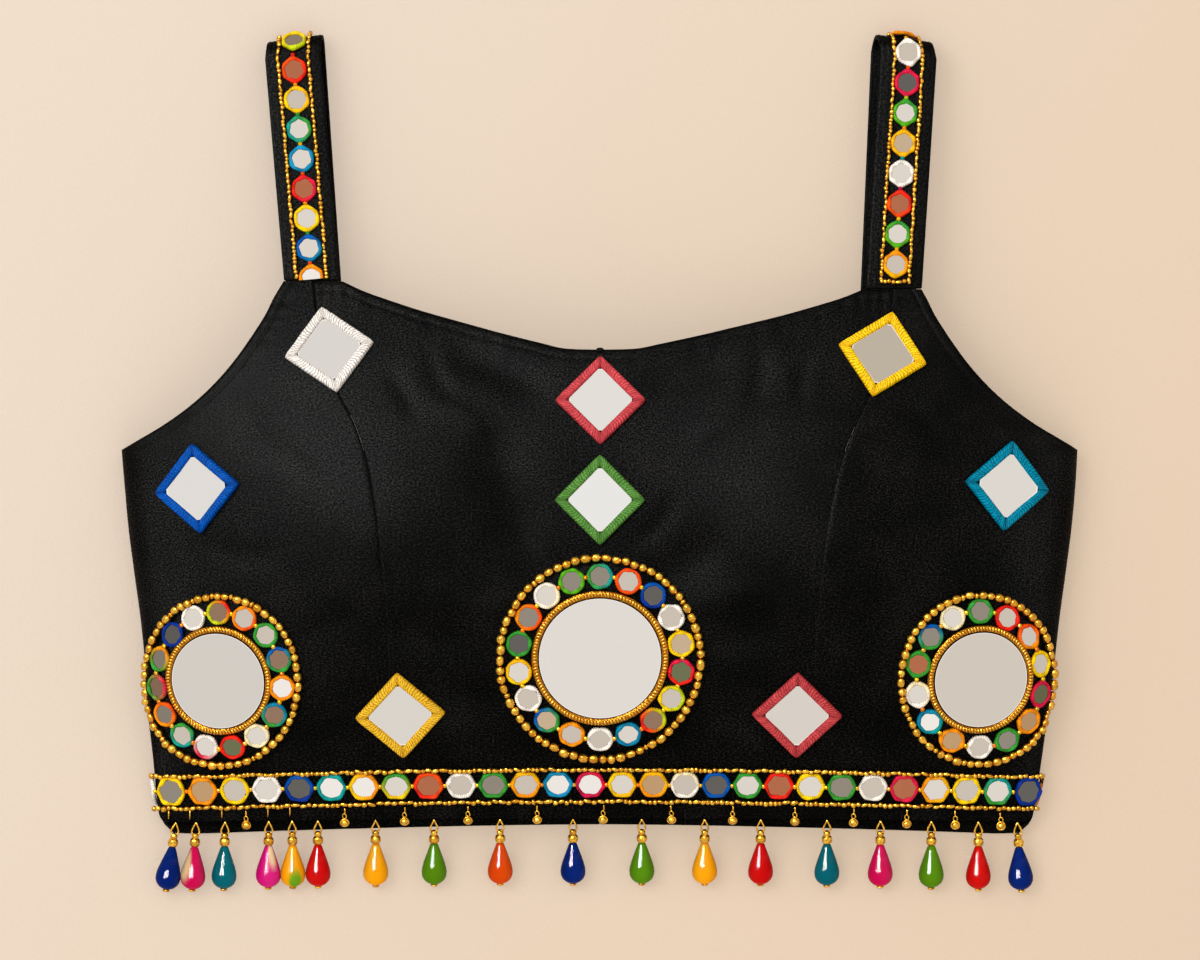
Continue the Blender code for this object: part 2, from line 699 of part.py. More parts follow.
def make_diamonds():
    """Thread-wrapped square frames, points up, each round a square mirror."""
    for name, x, y, turn, colour in DIAMONDS:
        place = patch(x, y, turn)
        stations = []
        corner = (DIAMOND_HALF - DIAMOND_BAR / 2) * sqrt(2)
        for quarter in range(4):
            c, s = cos(pi / 2 * quarter), sin(pi / 2 * quarter)
            # From the right-hand corner half way to the upper one, then turned by quarters.
            for share in (0, 0.5):
                u, v = corner * (1 - share), corner * share
                stations.append((u * c - v * s, u * s + v * c, DIAMOND_BAR / 2,
                                 LIFT, LIFT + DIAMOND_HEIGHT))
        strip(f"diamond_frame_{name}", place, stations, CUSHION,
              finish(f"thread_{name}", colour, 0.5), closed=True)
        side = DIAMOND_HALF - DIAMOND_BAR - 2 * SEAM_GAP
        plate(f"diamond_mirror_{name}", place, 4, side * sqrt(2), DIAMOND_MIRROR)


def plate(name, place, sides, reach, thickness):
    """A stiff mirror on a patch of cloth."""
    middle, across, up, normal = flat_seat(place, reach, LIFT)
    bm = bmesh.new()
    bmesh.ops.create_cone(bm, cap_ends=True, segments=sides, radius1=reach, radius2=reach,
                          depth=thickness)
    frame = Matrix((across, up, normal)).transposed().to_4x4()
    frame.translation = middle + normal * thickness / 2
    bmesh.ops.transform(bm, matrix=frame, verts=bm.verts)
    keep(name, bm, finish("mirror", (0.62, 0.60, 0.57), 0.08, 1.0))


def make_medallions():
    for (name, x, y, mirror, tube, chain, chain_half, mirrors,
         ring, bead, beads) in MEDALLIONS:
        place = patch(x, y)
        plate(f"medallion_{name}_mirror", place, ROUND_SIDES, mirror, ROUND_MIRROR)

        middle, across, up, normal = flat_seat(place, mirror, LIFT)
        bpy.ops.mesh.primitive_torus_add(
            major_segments=BEZEL_SIDES, minor_segments=5, minor_radius=tube,
            major_radius=mirror + SEAM_GAP + tube,
        )
        bezel = bpy.context.object
        bezel.name = f"medallion_{name}_bezel"
        frame = Matrix((across, up, normal)).transposed().to_4x4()
        frame.translation = middle + normal * tube
        bezel.matrix_world = frame
        bezel.data.materials.append(finish("gold_beads", GOLD, 0.3, 1.0))
        for collection in list(bezel.users_collection):
            collection.objects.unlink(bezel)
        blouse.objects.link(bezel)

        stations = []
        for i in range(mirrors):
            for share, half in ((-0.5, LINK_HALF), (SHOULDER - 0.5, chain_half),
                                (0.5 - SHOULDER, chain_half)):
                angle = pi / 2 - 2 * pi * (i + share) / mirrors
                stations.append((chain * cos(angle), chain * sin(angle), half,
                                 LIFT, LIFT + CHAIN_HEIGHT))
        strip(f"medallion_{name}_chain", place, stations, BOX,
              finish("thread_framed_mirrors", THREAD, 0.5), closed=True)

        stations = []
        for i in range(beads):
            for share, size in ((0, 1.0), (0.5, BEAD_WAIST)):
                angle = 2 * pi * (i + share) / beads
                stations.append((ring * cos(angle), ring * sin(angle), bead * size,
                                 LIFT + bead * (1 - size), LIFT + bead * (1 + size)))
        strip(f"medallion_{name}_beads", place, stations, ROUND,
              finish("gold_beads", GOLD, 0.3, 1.0), closed=True)


# --- Hem band -------------------------------------------------------------------------------------

def band_row(y, arc):
    """Y of a row of the hem band at an arc length: it dips towards the side seams."""
    return y - BAND_DIP * min(1, abs(arc) / HEM_REACH) ** 2


def band_ends(y):
    return tuple(seam_arc(side, band_row(y, HEM_REACH)) + SIGN[side] * BAND_WRAP
                 for side in (LEFT, RIGHT))


def make_band():
    ends = band_ends(BAND_MID_Y)
    links = [BAND_START + i * BAND_PITCH[LEFT if i < 0 else RIGHT]
             for i in range(-BAND_LINKS, BAND_LINKS + 1)]
    stations = chain_stations(links, BAND_HALF, lambda u: band_row(BAND_MID_Y, u), ends)
    strip("hem_band_mirrors", on_front, stations, BOX,
          finish("thread_framed_mirrors", THREAD, 0.5))

    for name, row_y in (("hem_band_beads_upper", BAND_UPPER_Y), ("hem_band_beads_lower", BAND_LOWER_Y)):
        first, last = band_ends(row_y)
        arcs = [mix(first, last, i / CORD_STEPS) for i in range(CORD_STEPS + 1)]
        stems = []
        if row_y == BAND_LOWER_Y:
            stems = [arc_at(x, round(band_row(row_y, x), 6)) for x in DANGLER_XS]
            arcs = [a for a in arcs if all(abs(a - stem) > STEM_ROOM for stem in stems)]
            arcs += [stem + step for stem in stems for step in (-STEM_HALF, STEM_HALF)]
            arcs.sort()
        stations = [(a, band_row(row_y, a), CORD_HALF, LIFT, LIFT + 2 * CORD_HALF) for a in arcs]
        cord = strip(name, on_front, stations, BOX, finish("gold_beads", GOLD, 0.3, 1.0))
        hang_danglers(cord, stems)


def hang_danglers(cord, stems):
    """Draw a stem and a ball out of the lower bead row, towards the hem, at each stem."""
    bm = bmesh.new()
    bm.from_mesh(cord.data)
    for stem in stems:
        y = band_row(BAND_LOWER_Y, stem)
        seat = on_front(stem, y - CORD_HALF, LIFT + CORD_HALF)
        face = min(bm.faces, key=lambda f: (f.calc_center_median() - seat).length)
        for down, half, lift in DANGLER_STEPS:
            middle = on_front(stem, y - down, lift)
            run = (on_front(stem, y - down - half, lift) - middle).normalized()
            across = Vector((1, 0, 0))
            up = run.cross(across).normalized()
            face = bmesh.ops.extrude_discrete_faces(bm, faces=[face])["faces"][0]
            old_middle = face.calc_center_median()
            for vert in face.verts:
                offset = vert.co - old_middle
                right = half if offset.x > 0 else -half
                above = half if offset.z > 0 else -half
                vert.co = middle + across * right + up * above
    bm.to_mesh(cord.data)
    bm.free()


# --- Strap trims ----------------------------------------------------------------------------------

def make_strap_trims():
    for side, name in ((LEFT, "left"), (RIGHT, "right")):
        bend_start = strap_length(side, STRAP_FRONT_ROWS)
        end = bend_start + STRAP_BEND * STRAP_TRIM_END

        def place(u, v, lift, side=side):
            return on_strap(side, u, v, lift)

        # The chain stays clear of the bead row that crosses its lower or its upper end.
        first, pitch = STRAP_CHAIN[side]
        links = [first + pitch * i for i in range(STRAP_LINKS)]
        clear = STRAP_CORD_HALF + SEAM_GAP
        chain_start = STRAP_ROW_START[side] + (clear if side == RIGHT else 0)
        chain_end = end - (clear if side == LEFT else 0)
        stations = chain_stations(links, STRAP_CHAIN_HALF, ends=(chain_start, chain_end))
        strip(f"strap_{name}_mirrors", place, stations, BOX,
              finish("thread_framed_mirrors", THREAD, 0.5))

        steps = range(STRAP_ROW_STEPS)
        run = [mix(STRAP_ROW_START[side], bend_start, i / STRAP_ROW_STEPS) for i in steps]
        run += [mix(bend_start, end, i / (STRAP_ROW_STEPS - 1)) for i in steps]
        left_row = [(u, -STRAP_ROW_OUT) for u in run]
        right_row = [(u, STRAP_ROW_OUT) for u in run]
        # The right strap's rows are joined across its lower end, the left strap's behind its bend.
        path = left_row[::-1] + right_row if side == RIGHT else left_row + right_row[::-1]
        stations = [(u, v, STRAP_CORD_HALF, LIFT, LIFT + 2 * STRAP_CORD_HALF) for u, v in path]
        strip(f"strap_{name}_beads", place, stations, BOX, finish("gold_beads", GOLD, 0.3, 1.0))


# --- Drops ----------------------------------------------------------------------------------------

def make_drops():
    """Turned beads on an eye pin. Each hangs from the hem and lies with its belly on the surface."""
    bm = bmesh.new()
    points = [bm.verts.new((radius, 0, -down)) for down, radius in DROP_PROFILE]
    for a, b in zip(points, points[1:]):
        bm.edges.new((a, b))
    profile = bpy.data.meshes.new("drop")
    bm.to_mesh(profile)
    bm.free()
    for number, (x, splay, colour) in enumerate(DROPS, 1):
        name = f"drop_{number:02d}"
        drop = bpy.data.objects.new(name, profile.copy())
        drop.data.materials.append(finish(f"glass_{number:02d}", colour, 0.08))
        blouse.objects.link(drop)
        turned = drop.modifiers.new("turned", "SCREW")
        turned.steps = turned.render_steps = DROP_SIDES
        turned.use_merge_vertices = True
        turned.merge_threshold = 0.00001
        top = Vector((x, hem(x) - DROP_HANG, height(x, hem(x)) - CLOTH / 2))
        lean = asin((top.z - DROP_RADIUS - DROP_CLEAR) / DROP_BELLY)
        drop.rotation_euler = (lean - pi / 2, 0, radians(splay))
        drop.location = top


# --- The blouse -----------------------------------------------------------------------------------

for old in list(bpy.data.objects):
    bpy.data.objects.remove(old, do_unlink=True)

blouse = bpy.data.collections.new("choli_blouse")
bpy.context.scene.collection.children.link(blouse)

make_panels()
make_straps()
make_diamonds()
make_medallions()
make_band()
make_strap_trims()
make_drops()
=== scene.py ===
# A choli blouse of black cotton with mirror work, laid face up on a pale surface. Metres.
# X runs across the blouse, Y from the hem up to the straps, and Z up off the surface.

import json
from functools import lru_cache
from math import asin, atan2, cos, exp, floor, hypot, pi, radians, sin, sqrt
from random import Random

import bmesh
import bpy
from mathutils import Matrix, Vector

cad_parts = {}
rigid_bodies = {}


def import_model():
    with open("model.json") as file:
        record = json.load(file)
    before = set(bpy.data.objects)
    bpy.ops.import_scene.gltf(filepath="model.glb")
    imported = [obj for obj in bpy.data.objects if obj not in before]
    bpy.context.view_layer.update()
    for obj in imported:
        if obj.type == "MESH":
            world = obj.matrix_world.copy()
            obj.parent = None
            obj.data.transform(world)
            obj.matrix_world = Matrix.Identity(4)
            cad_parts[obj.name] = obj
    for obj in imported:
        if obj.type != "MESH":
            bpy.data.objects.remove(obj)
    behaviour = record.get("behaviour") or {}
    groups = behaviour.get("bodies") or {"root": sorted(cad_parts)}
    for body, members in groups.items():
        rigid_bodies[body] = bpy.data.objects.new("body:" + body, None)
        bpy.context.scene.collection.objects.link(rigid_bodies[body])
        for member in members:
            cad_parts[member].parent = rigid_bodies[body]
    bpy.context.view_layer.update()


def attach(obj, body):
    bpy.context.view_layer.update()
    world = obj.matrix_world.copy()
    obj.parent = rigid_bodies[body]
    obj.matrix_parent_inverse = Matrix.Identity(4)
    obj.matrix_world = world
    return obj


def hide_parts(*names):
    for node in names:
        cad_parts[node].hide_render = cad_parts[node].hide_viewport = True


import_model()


# === Camera ===
# It looks straight down, from so far off that the raised front is hardly drawn out of place.

VIEW_WIDTH = 0.5500
VIEW_MIDDLE_Y = -0.0099
CAMERA_Z = 9.0
SHARP_Z = 0.018           # the view is VIEW_WIDTH wide at this height
SENSOR = 36               # millimetres

camera = bpy.data.objects.new("camera", bpy.data.cameras.new("camera"))
camera.data.sensor_width = SENSOR
camera.data.lens = SENSOR * (CAMERA_Z - SHARP_Z) / VIEW_WIDTH
camera.location = (0, VIEW_MIDDLE_Y, CAMERA_Z)
bpy.context.scene.collection.objects.link(camera)
bpy.context.scene.camera = camera
bpy.context.scene.view_settings.view_transform = "Standard"


# === Light ===
# A wide soft box up on the left lights the cloth and the card. The windows show only in gloss: one
# in beads and silk, one in the drops and one in the cloth, with a glow low down on either side for
# the sides of the cloth. The pale room is all round.

BOX_FROM = (-0.50, 0.30, 0.81)
LIGHT_DISTANCE = 5.0
ROOM_OVERHEAD = (0.980, 0.936, 0.878, 1)
ROOM_SIDES = (0.760, 0.710, 0.650, 1)
WALLS_END, CEILING_STARTS = 0.20, 0.65    # as the upward share of the direction


def frame_at(point, across, out):
    """A frame at a point, with its x along across and its z along out."""
    made = Matrix((across, out.cross(across), out)).transposed().to_4x4()
    made.translation = point
    return made


def lamp(name, come_from, size, watts, glossy):
    """A rectangular light that looks at the blouse, with its second side along Y."""
    light = bpy.data.objects.new(name, bpy.data.lights.new(name, "AREA"))
    light.data.shape = "RECTANGLE"
    light.data.size, light.data.size_y = size
    light.data.energy = watts
    come_from = Vector(come_from).normalized()
    across = Vector((0, 1, 0)).cross(come_from).normalized()
    light.matrix_world = frame_at(come_from * LIGHT_DISTANCE, across, come_from)
    light.visible_glossy, light.visible_diffuse = glossy, not glossy
    bpy.context.scene.collection.objects.link(light)
    return light


lamp("soft_box", BOX_FROM, (2.8, 2.8), 50, False)
silk_light = lamp("silk_light", BOX_FROM, (1.2, 1.2), 150, False)
card_fill = lamp("card_fill", BOX_FROM, (2.8, 2.8), 310, False)
card_fill.data.use_shadow = False
window = lamp("window", (-0.34, 0.45, 0.83), (3.8, 2.9), 320, True)
drops_window = lamp("drops_window", (-0.36, 0.05, 0.93), (3.6, 2.5), 12500, True)
cloth_lights = (lamp("cloth_window", (-0.37, 0.36, 0.86), (2.2, 2.2), 880, True),
                lamp("left_glow", (-0.88, -0.05, 0.47), (2.2, 2.2), 330, True),
                lamp("right_glow", (0.88, -0.05, 0.47), (2.2, 2.2), 170, True))


class Value:
    """A socket of a finish. Sums, products and powers of values add their Math nodes."""

    def __init__(self, finish, socket):
        self.finish, self.socket = finish, socket

    def maths(self, operation, *values):
        return self.finish.node("Math", {"operation": operation}, dict(enumerate(values)))

    def __add__(self, other):
        return self.maths("ADD", self, other)

    def __sub__(self, other):
        return self.maths("SUBTRACT", self, other)

    def __rsub__(self, other):
        return self.maths("SUBTRACT", other, self)

    def __mul__(self, other):
        return self.maths("MULTIPLY", self, other)

    __radd__ = __add__
    __rmul__ = __mul__


class Finish:
    """A node tree that is written as expressions of values. They end in the sockets of one node."""

    def __init__(self, tree, last_node):
        self.tree = tree
        self.sockets = tree.nodes[last_node].inputs

    def node(self, kind, settings=None, sockets=None, output=0):
        made = self.tree.nodes.new("ShaderNode" + kind)
        for name, value in (settings or {}).items():
            setattr(made, name, value)
        for socket, value in (sockets or {}).items():
            self.give(made.inputs[socket], value)
        return Value(self, made.outputs[output])

    def give(self, socket, value):
        socket = self.sockets[socket] if isinstance(socket, str) else socket
        if isinstance(value, Value):
            self.tree.links.new(value.socket, socket)
        else:
            socket.default_value = value

    def place(self):
        """Where a point is, in metres."""
        return self.node("TexCoord", output=3)

    def uv(self, map_name):
        """Where a point is on its own cloth or thread, in metres."""
        return self.node("UVMap", {"uv_map": map_name})

    def own_colour(self):
        """The colour that a point carries."""
        return self.node("Attribute", {"attribute_name": "colour"})

    def part(self, vector, axis):
        return self.node("SeparateXYZ", None, {0: vector}, "XYZ".index(axis))

    def ramp(self, value, low, high):
        """0 below low, 1 above high."""
        return self.node("MapRange", {"interpolation_type": "SMOOTHSTEP"}, {0: value, 1: low, 2: high})

    def blend(self, share, a, b):
        return self.node("Mix", {"data_type": "RGBA"}, {0: share, 6: a, 7: b}, 2)

    def noise(self, place, size, detail=2.0, stretch=(1, 1, 1)):
        """Soft noise, about 0.5 on average. size is that of its patches, in metres."""
        scaled = self.node("VectorMath", {"operation": "MULTIPLY"},
                           {0: place, 1: [s / size for s in stretch]})
        return self.node("TexNoise", None, {"Vector": scaled, "Scale": 1.0, "Detail": detail})


world = bpy.data.worlds.new("room")
world.use_nodes = True
bpy.context.scene.world = world
room = Finish(world.node_tree, "Background")
upwards = room.part(room.node("TexCoord", output=0), "Z")
room.give("Color", room.blend(room.ramp(upwards, WALLS_END, CEILING_STARTS), ROOM_SIDES,
                              ROOM_OVERHEAD))


# === Surface it lies on ===
# A sheet of peach card, with a fine felted grain and a faint unevenness of tone. Its colour grows
# darker and warmer down to the right, a painted fall-off of the light from the upper left.

CARD_HALF = 3.0
CARD_DROP = 0.0002        # it lies just under the blouse
CARD = (0.420, 0.356, 0.298, 1)
CARD_SHADED = (0.434, 0.341, 0.256, 1)
CARD_LIT_TO, CARD_SHADED_FROM = -0.30, 0.42    # metres down to the right
CARD_FELT, CARD_RELIEF, CARD_CLOUD = 0.0012, 0.0003, 0.16


def new_finish(name, **constants):
    """A Principled finish. Constants are set on its sockets, with _ for a space in their names."""
    material = bpy.data.materials.new(name)
    material.use_nodes = True
    finish = Finish(material.node_tree, "Principled BSDF")
    finish.material = material
    for socket, value in constants.items():
        finish.give(socket.replace("_", " "), value)
    return finish


def bump(finish, height, distance, strength=1.0):
    """Raise the surface by height, which runs from 0 to 1, times distance."""
    finish.give("Normal", finish.node(
        "Bump", None, {"Height": height, "Distance": distance, "Strength": strength}))


card_finish = new_finish("peach_card", Roughness=0.9, Specular_IOR_Level=0.2)
place = card_finish.place()
# Painted fall-off of the light: the colour runs from lit to shaded down to the right, with a little
# random drift in tone.
down_right = card_finish.part(place, "X") * 0.9 - card_finish.part(place, "Y") * 0.6
drifting = down_right + card_finish.noise(place, CARD_CLOUD) * 0.10
card_finish.give("Base Color", card_finish.blend(
    card_finish.ramp(drifting, CARD_LIT_TO, CARD_SHADED_FROM), CARD, CARD_SHADED))
bump(card_finish, card_finish.noise(place, CARD_FELT, 4), CARD_RELIEF, 0.5)


def new_object(name, bm, finishes):
    """An object made from a bmesh, which is used up."""
    mesh = bpy.data.meshes.new(name)
    bm.to_mesh(mesh)
    bm.free()
    for finish in finishes:
        mesh.materials.append(finish.material)
    made = bpy.data.objects.new(name, mesh)
    bpy.context.scene.collection.objects.link(made)
    return made


card = bmesh.new()
bmesh.ops.create_grid(card, x_segments=1, y_segments=1, size=CARD_HALF)
bmesh.ops.translate(card, vec=(0, 0, -CARD_DROP), verts=card.verts)
new_object("card", card, [card_finish])


# === Front ===
# Three pieces of black cotton over a lining, joined along two princess seams so that they stand up
# over the bust. It is hollow, held up by its own stiffness, and creased where it was folded.

CLOTH = 0.0016
SEAM_GAP = 0.0003
PANEL_GAP = 0.00004       # the front's panels are sewn edge to edge
CURL = 0.0052             # radius of the back's roll up to a side seam
UPRIGHT = 0.0008
BACK_EDGE_Z = CURL + UPRIGHT
FRONT_EDGE_Z = BACK_EDGE_Z + SEAM_GAP
DOME_Z = FRONT_EDGE_Z + UPRIGHT

HEM_Y, HEM_DIP, HEM_REACH = -0.1650, 0.0016, 0.1900
BACK_HEM_Y, BACK_HEM_DIP = -0.1680, 0.0042
BACK_TOP_Y = 0.0035
UNDERARM_Y = 0.0039
NECK_Y = 0.0497
STRAP_BASE_Y = (0.0812, 0.0775)
STRAP_INNER = 0.9         # a strap's inner corner, as a share of the way to the princess seam
SEAM_INNER = 0.5
UNDERARM_SHARE = 0.61     # share of the front's height at which the side seam ends
LEFT, RIGHT = 0, 1
SIGN = (-1, 1)

SIDE_OUTLINE = (  # y, half width on the left, on the right
    (-0.1722, 0.1955, 0.1920), (-0.1703, 0.1985, 0.1948), (-0.1666, 0.2005, 0.1975),
    (-0.1634, 0.2024, 0.1988), (-0.1359, 0.2053, 0.2030), (-0.1153, 0.2076, 0.2058),
    (-0.0946, 0.2088, 0.2085), (-0.0740, 0.2108, 0.2108), (-0.0534, 0.2136, 0.2136),
    (-0.0328, 0.2163, 0.2163), (-0.0121, 0.2182, 0.2182), (0.0039, 0.2195, 0.2191),
    (0.0400, 0.2215, 0.2210), (0.0850, 0.2220, 0.2215),
)
PRINCESS_SEAM = (  # y, distance from the centre line on the left, on the right
    (-0.1670, 0.0993, 0.0993), (-0.0960, 0.0967, 0.0976), (-0.0584, 0.0990, 0.1008),
    (-0.0433, 0.1004, 0.1024), (-0.0259, 0.1022, 0.1050), (-0.0144, 0.1040, 0.1072),
    (-0.0002, 0.1068, 0.1107), (0.0163, 0.1123, 0.1173), (0.0291, 0.1192, 0.1235),
    (0.0497, 0.1262, 0.1300), (0.0681, 0.1298, 0.1333), (0.0814, 0.1313, 0.1345),
)
ARMHOLE = (  # y, distance from the centre line
    (0.0039, 0.2195), (0.0076, 0.2130), (0.0149, 0.2005), (0.0222, 0.1900), (0.0296, 0.1812),
    (0.0369, 0.1740), (0.0442, 0.1678), (0.0516, 0.1624), (0.0589, 0.1575), (0.0662, 0.1530),
    (0.0736, 0.1494), (0.0810, 0.1450),
)
NECKLINE = (  # share of the way out to the strap, share of the climb to its seam
    (0.00, 0.000), (0.14, 0.020), (0.22, 0.090), (0.38, 0.240), (0.53, 0.395), (0.69, 0.565),
    (0.84, 0.750), (0.92, 0.860), (1.00, 1.000),
)
FRONT_RISE = (  # y, rise over the side seams along the centre line
    (-0.1680, 0.0065), (-0.1500, 0.0168), (-0.1250, 0.0285), (-0.0900, 0.0385),
    (-0.0450, 0.0430), (0.0000, 0.0425), (0.0400, 0.0350), (0.0830, 0.0205),
)
CUP_RISE = 0.0075
CUP_X, CUP_Y = 0.1010, -0.0360
CUP_SPREAD_X, CUP_SPREAD_Y = 0.0520, 0.0500

# The cloth is drawn flat under each of these mirrors.
SEATED_MIRRORS = (  # x, y, radius
    (0.0000, -0.0914, 0.0279), (-0.1742, -0.1020, 0.0220), (0.1737, -0.1013, 0.0220),
)
SEAT_FLAT, SEAT_FADE = 1.05, 1.75

# Soft troughs in the cloth, and ridges where the depth is negative. They bow by bow at their ends.
CREASES = (  # x, y, angle, length, width, depth, bow
    (-0.0480, 0.0405, 158, 0.046, 0.0080, 0.0014, 0.000),
    (-0.0410, -0.0140, 114, 0.058, 0.0130, 0.0024, 0.000),
    (-0.0800, -0.0800, -12, 0.044, 0.0090, 0.0014, 0.000),
    (0.0400, 0.0385, 18, 0.040, 0.0080, 0.0012, 0.000),
    (0.0400, -0.0480, 32, 0.036, 0.0100, 0.0016, 0.000),
    (0.0640, -0.0800, 8, 0.042, 0.0090, 0.0014, 0.000),
    (0.1520, -0.0560, -35, 0.040, 0.0110, 0.0013, 0.000),
    (-0.0750, 0.0380, -65, 0.026, 0.0045, 0.0007, 0.002),
    (-0.0900, 0.0300, -60, 0.022, 0.0040, 0.0006, -0.001),
    (-0.0640, 0.0210, 150, 0.030, 0.0045, -0.0006, 0.003),
    (-0.0250, -0.0420, 118, 0.034, 0.0050, -0.0006, 0.002),
    (-0.0620, -0.0660, -20, 0.036, 0.0060, -0.0007, 0.003),
    (-0.0560, -0.1090, -8, 0.040, 0.0060, 0.0008, -0.002),
    (-0.1580, 0.0130, -63, 0.032, 0.0055, 0.0008, 0.002),
    (-0.1400, -0.0010, -48, 0.026, 0.0050, 0.0006, 0.001),
    (-0.1660, -0.0440, -14, 0.034, 0.0060, 0.0008, 0.003),
    (-0.1240, -0.0760, 24, 0.034, 0.0060, 0.0007, -0.002),
    (-0.1330, -0.1290, 6, 0.032, 0.0050, 0.0006, 0.001),
    (-0.0660, -0.1300, 4, 0.036, 0.0045, 0.0006, -0.001),
    (0.0550, -0.1300, -5, 0.034, 0.0045, 0.0006, 0.001),
    (0.1250, -0.1290, -8, 0.030, 0.0050, 0.0007, 0.001),
    (0.0730, 0.0370, 80, 0.024, 0.0045, 0.0007, 0.001),
    (0.0920, 0.0360, 80, 0.022, 0.0040, 0.0006, -0.001),
    (0.0560, 0.0160, 24, 0.030, 0.0050, -0.0005, -0.002),
    (0.0560, -0.0640, 20, 0.034, 0.0060, -0.0006, -0.002),
    (0.0270, -0.0300, 48, 0.028, 0.0050, 0.0007, 0.002),
    (0.1480, 0.0170, 132, 0.034, 0.0055, 0.0008, 0.002),
    (0.1640, -0.0400, 8, 0.030, 0.0060, 0.0008, -0.003),
    (0.1230, -0.0760, -20, 0.036, 0.0060, 0.0008, 0.002),
    (0.1400, -0.0050, 118, 0.022, 0.0045, 0.0005, 0.001),
    (0.1990, -0.0340, 84, 0.040, 0.0050, 0.0006, 0.001),
    (-0.2000, -0.0440, 96, 0.038, 0.0050, 0.0006, -0.001),
)


def mix(a, b, share):
    return a + (b - a) * share


def neighbours(items, i):
    """The items before and after, or the item itself where there is none."""
    return items[max(i - 1, 0)], items[min(i + 1, len(items) - 1)]


def read(table, column, at):
    """A column of a table, read on a smooth curve through its rows."""
    last = len(table) - 1
    if at <= table[0][0]:
        return table[0][column]
    if at >= table[last][0]:
        return table[last][column]
    row = next(i for i in range(last) if at <= table[i + 1][0])

    def slope(i):
        before, after = neighbours(table, i)
        return (after[column] - before[column]) / (after[0] - before[0])

    low, high = table[row], table[row + 1]
    span = high[0] - low[0]
    s = (at - low[0]) / span
    return (
        low[column] * (1 + 2 * s) * (1 - s) ** 2
        + slope(row) * span * s * (1 - s) ** 2
        + high[column] * s * s * (3 - 2 * s)
        - slope(row + 1) * span * s * s * (1 - s)
    )


@lru_cache(maxsize=None)
def half_width(side, y):
    return read(SIDE_OUTLINE, 1 + side, y)


@lru_cache(maxsize=None)
def front_rise(y):
    return read(FRONT_RISE, 1, y)


def dome(x, y):
    """Height of the front's outer side before it is creased or drawn flat."""
    side = LEFT if x < 0 else RIGHT
    out = min(abs(x) / half_width(side, y), 1)
    cup = exp(-((abs(x) - CUP_X) / CUP_SPREAD_X) ** 2 - ((y - CUP_Y) / CUP_SPREAD_Y) ** 2)
    return DOME_Z + (front_rise(y) + CUP_RISE * cup) * sqrt(max(0, 1 - out ** 3))


def seat(x, y, radius, step=0.004):
    """The plane on which a mirror lies: its middle, radius, height and slopes."""
    return (x, y, radius, dome(x, y), (dome(x + step, y) - dome(x - step, y)) / (2 * step),
            (dome(x, y + step) - dome(x, y - step)) / (2 * step))


SEATS = [seat(*mirror) for mirror in SEATED_MIRRORS]


@lru_cache(maxsize=None)
def height(x, y):
    """Height of the front's outer side over the card."""
    z = dome(x, y)
    for seat_x, seat_y, radius, seat_z, slope_x, slope_y in SEATS:
        dx, dy = x - seat_x, y - seat_y
        away = sqrt((dx * dx * (1 + slope_x ** 2)) + dy * dy) / radius
        share = (SEAT_FADE - away) / (SEAT_FADE - SEAT_FLAT)
        if share > 0:
            share = min(share, 1)
            z = mix(z, seat_z + slope_x * dx + slope_y * dy, share * share * (3 - 2 * share))
    for crease_x, crease_y, angle, length, width, depth, bow in CREASES:
        dx, dy = x - crease_x, y - crease_y
        if hypot(dx, dy) < length:
            turn = radians(angle)
            along = (dx * cos(turn) + dy * sin(turn)) / (length / 2)
            across = (dy * cos(turn) - dx * sin(turn) - bow * along * along) / width
            z -= depth * exp(-across ** 2 - along ** 4)
    return z


def surface(side, angle, y):
    """The outer side across the blouse: 0 at the centre line, pi/2 at the side seam, then the curl."""
    half = half_width(side, y)
    if angle <= pi / 2:
        x = SIGN[side] * half * abs(sin(angle)) ** (2 / 3)
        return Vector((x, y, height(x, y)))
    past = (angle - pi / 2) * CURL
    if past < DOME_Z - CURL:
        return Vector((SIGN[side] * half, y, DOME_Z - past))
    turn = (past - (DOME_Z - CURL)) / CURL
    return Vector((SIGN[side] * (half - CURL + CURL * cos(turn)), y, CURL - CURL * sin(turn)))


def arc_lengths(points):
    """How far along the line through points each of them is."""
    arcs = [0.0]
    for a, b in zip(points, points[1:]):
        arcs.append(arcs[-1] + (b - a).length)
    return arcs


SECTION_STEPS = 48
SECTION_PITCH = 0.002


@lru_cache(maxsize=None)
def section(side, row):
    """Arc lengths over the outer side at a row, for equal steps of the angle."""
    y = row * SECTION_PITCH
    return arc_lengths([surface(side, pi / 2 * i / SECTION_STEPS, y)
                        for i in range(SECTION_STEPS * 2 + 1)])


def between_sections(y, reading):
    """A reading of the two sections on either side of y, mixed."""
    row = floor(y / SECTION_PITCH)
    return mix(reading(row), reading(row + 1), y / SECTION_PITCH - row)


def arc_at(x, y):
    """Signed arc length over the cloth from the centre line to x."""
    side = LEFT if x < 0 else RIGHT
    step = asin(min(1, abs(x) / half_width(side, y)) ** 1.5) / (pi / 2) * SECTION_STEPS
    i = min(int(step), SECTION_STEPS - 1)

    # From one step to the next the arc runs as the angle to the power of 2/3.
    share = (step ** (2 / 3) - i ** (2 / 3)) / ((i + 1) ** (2 / 3) - i ** (2 / 3))

    def reading(row):
        arcs = section(side, row)
        return mix(arcs[i], arcs[i + 1], share)

    return SIGN[side] * between_sections(y, reading)


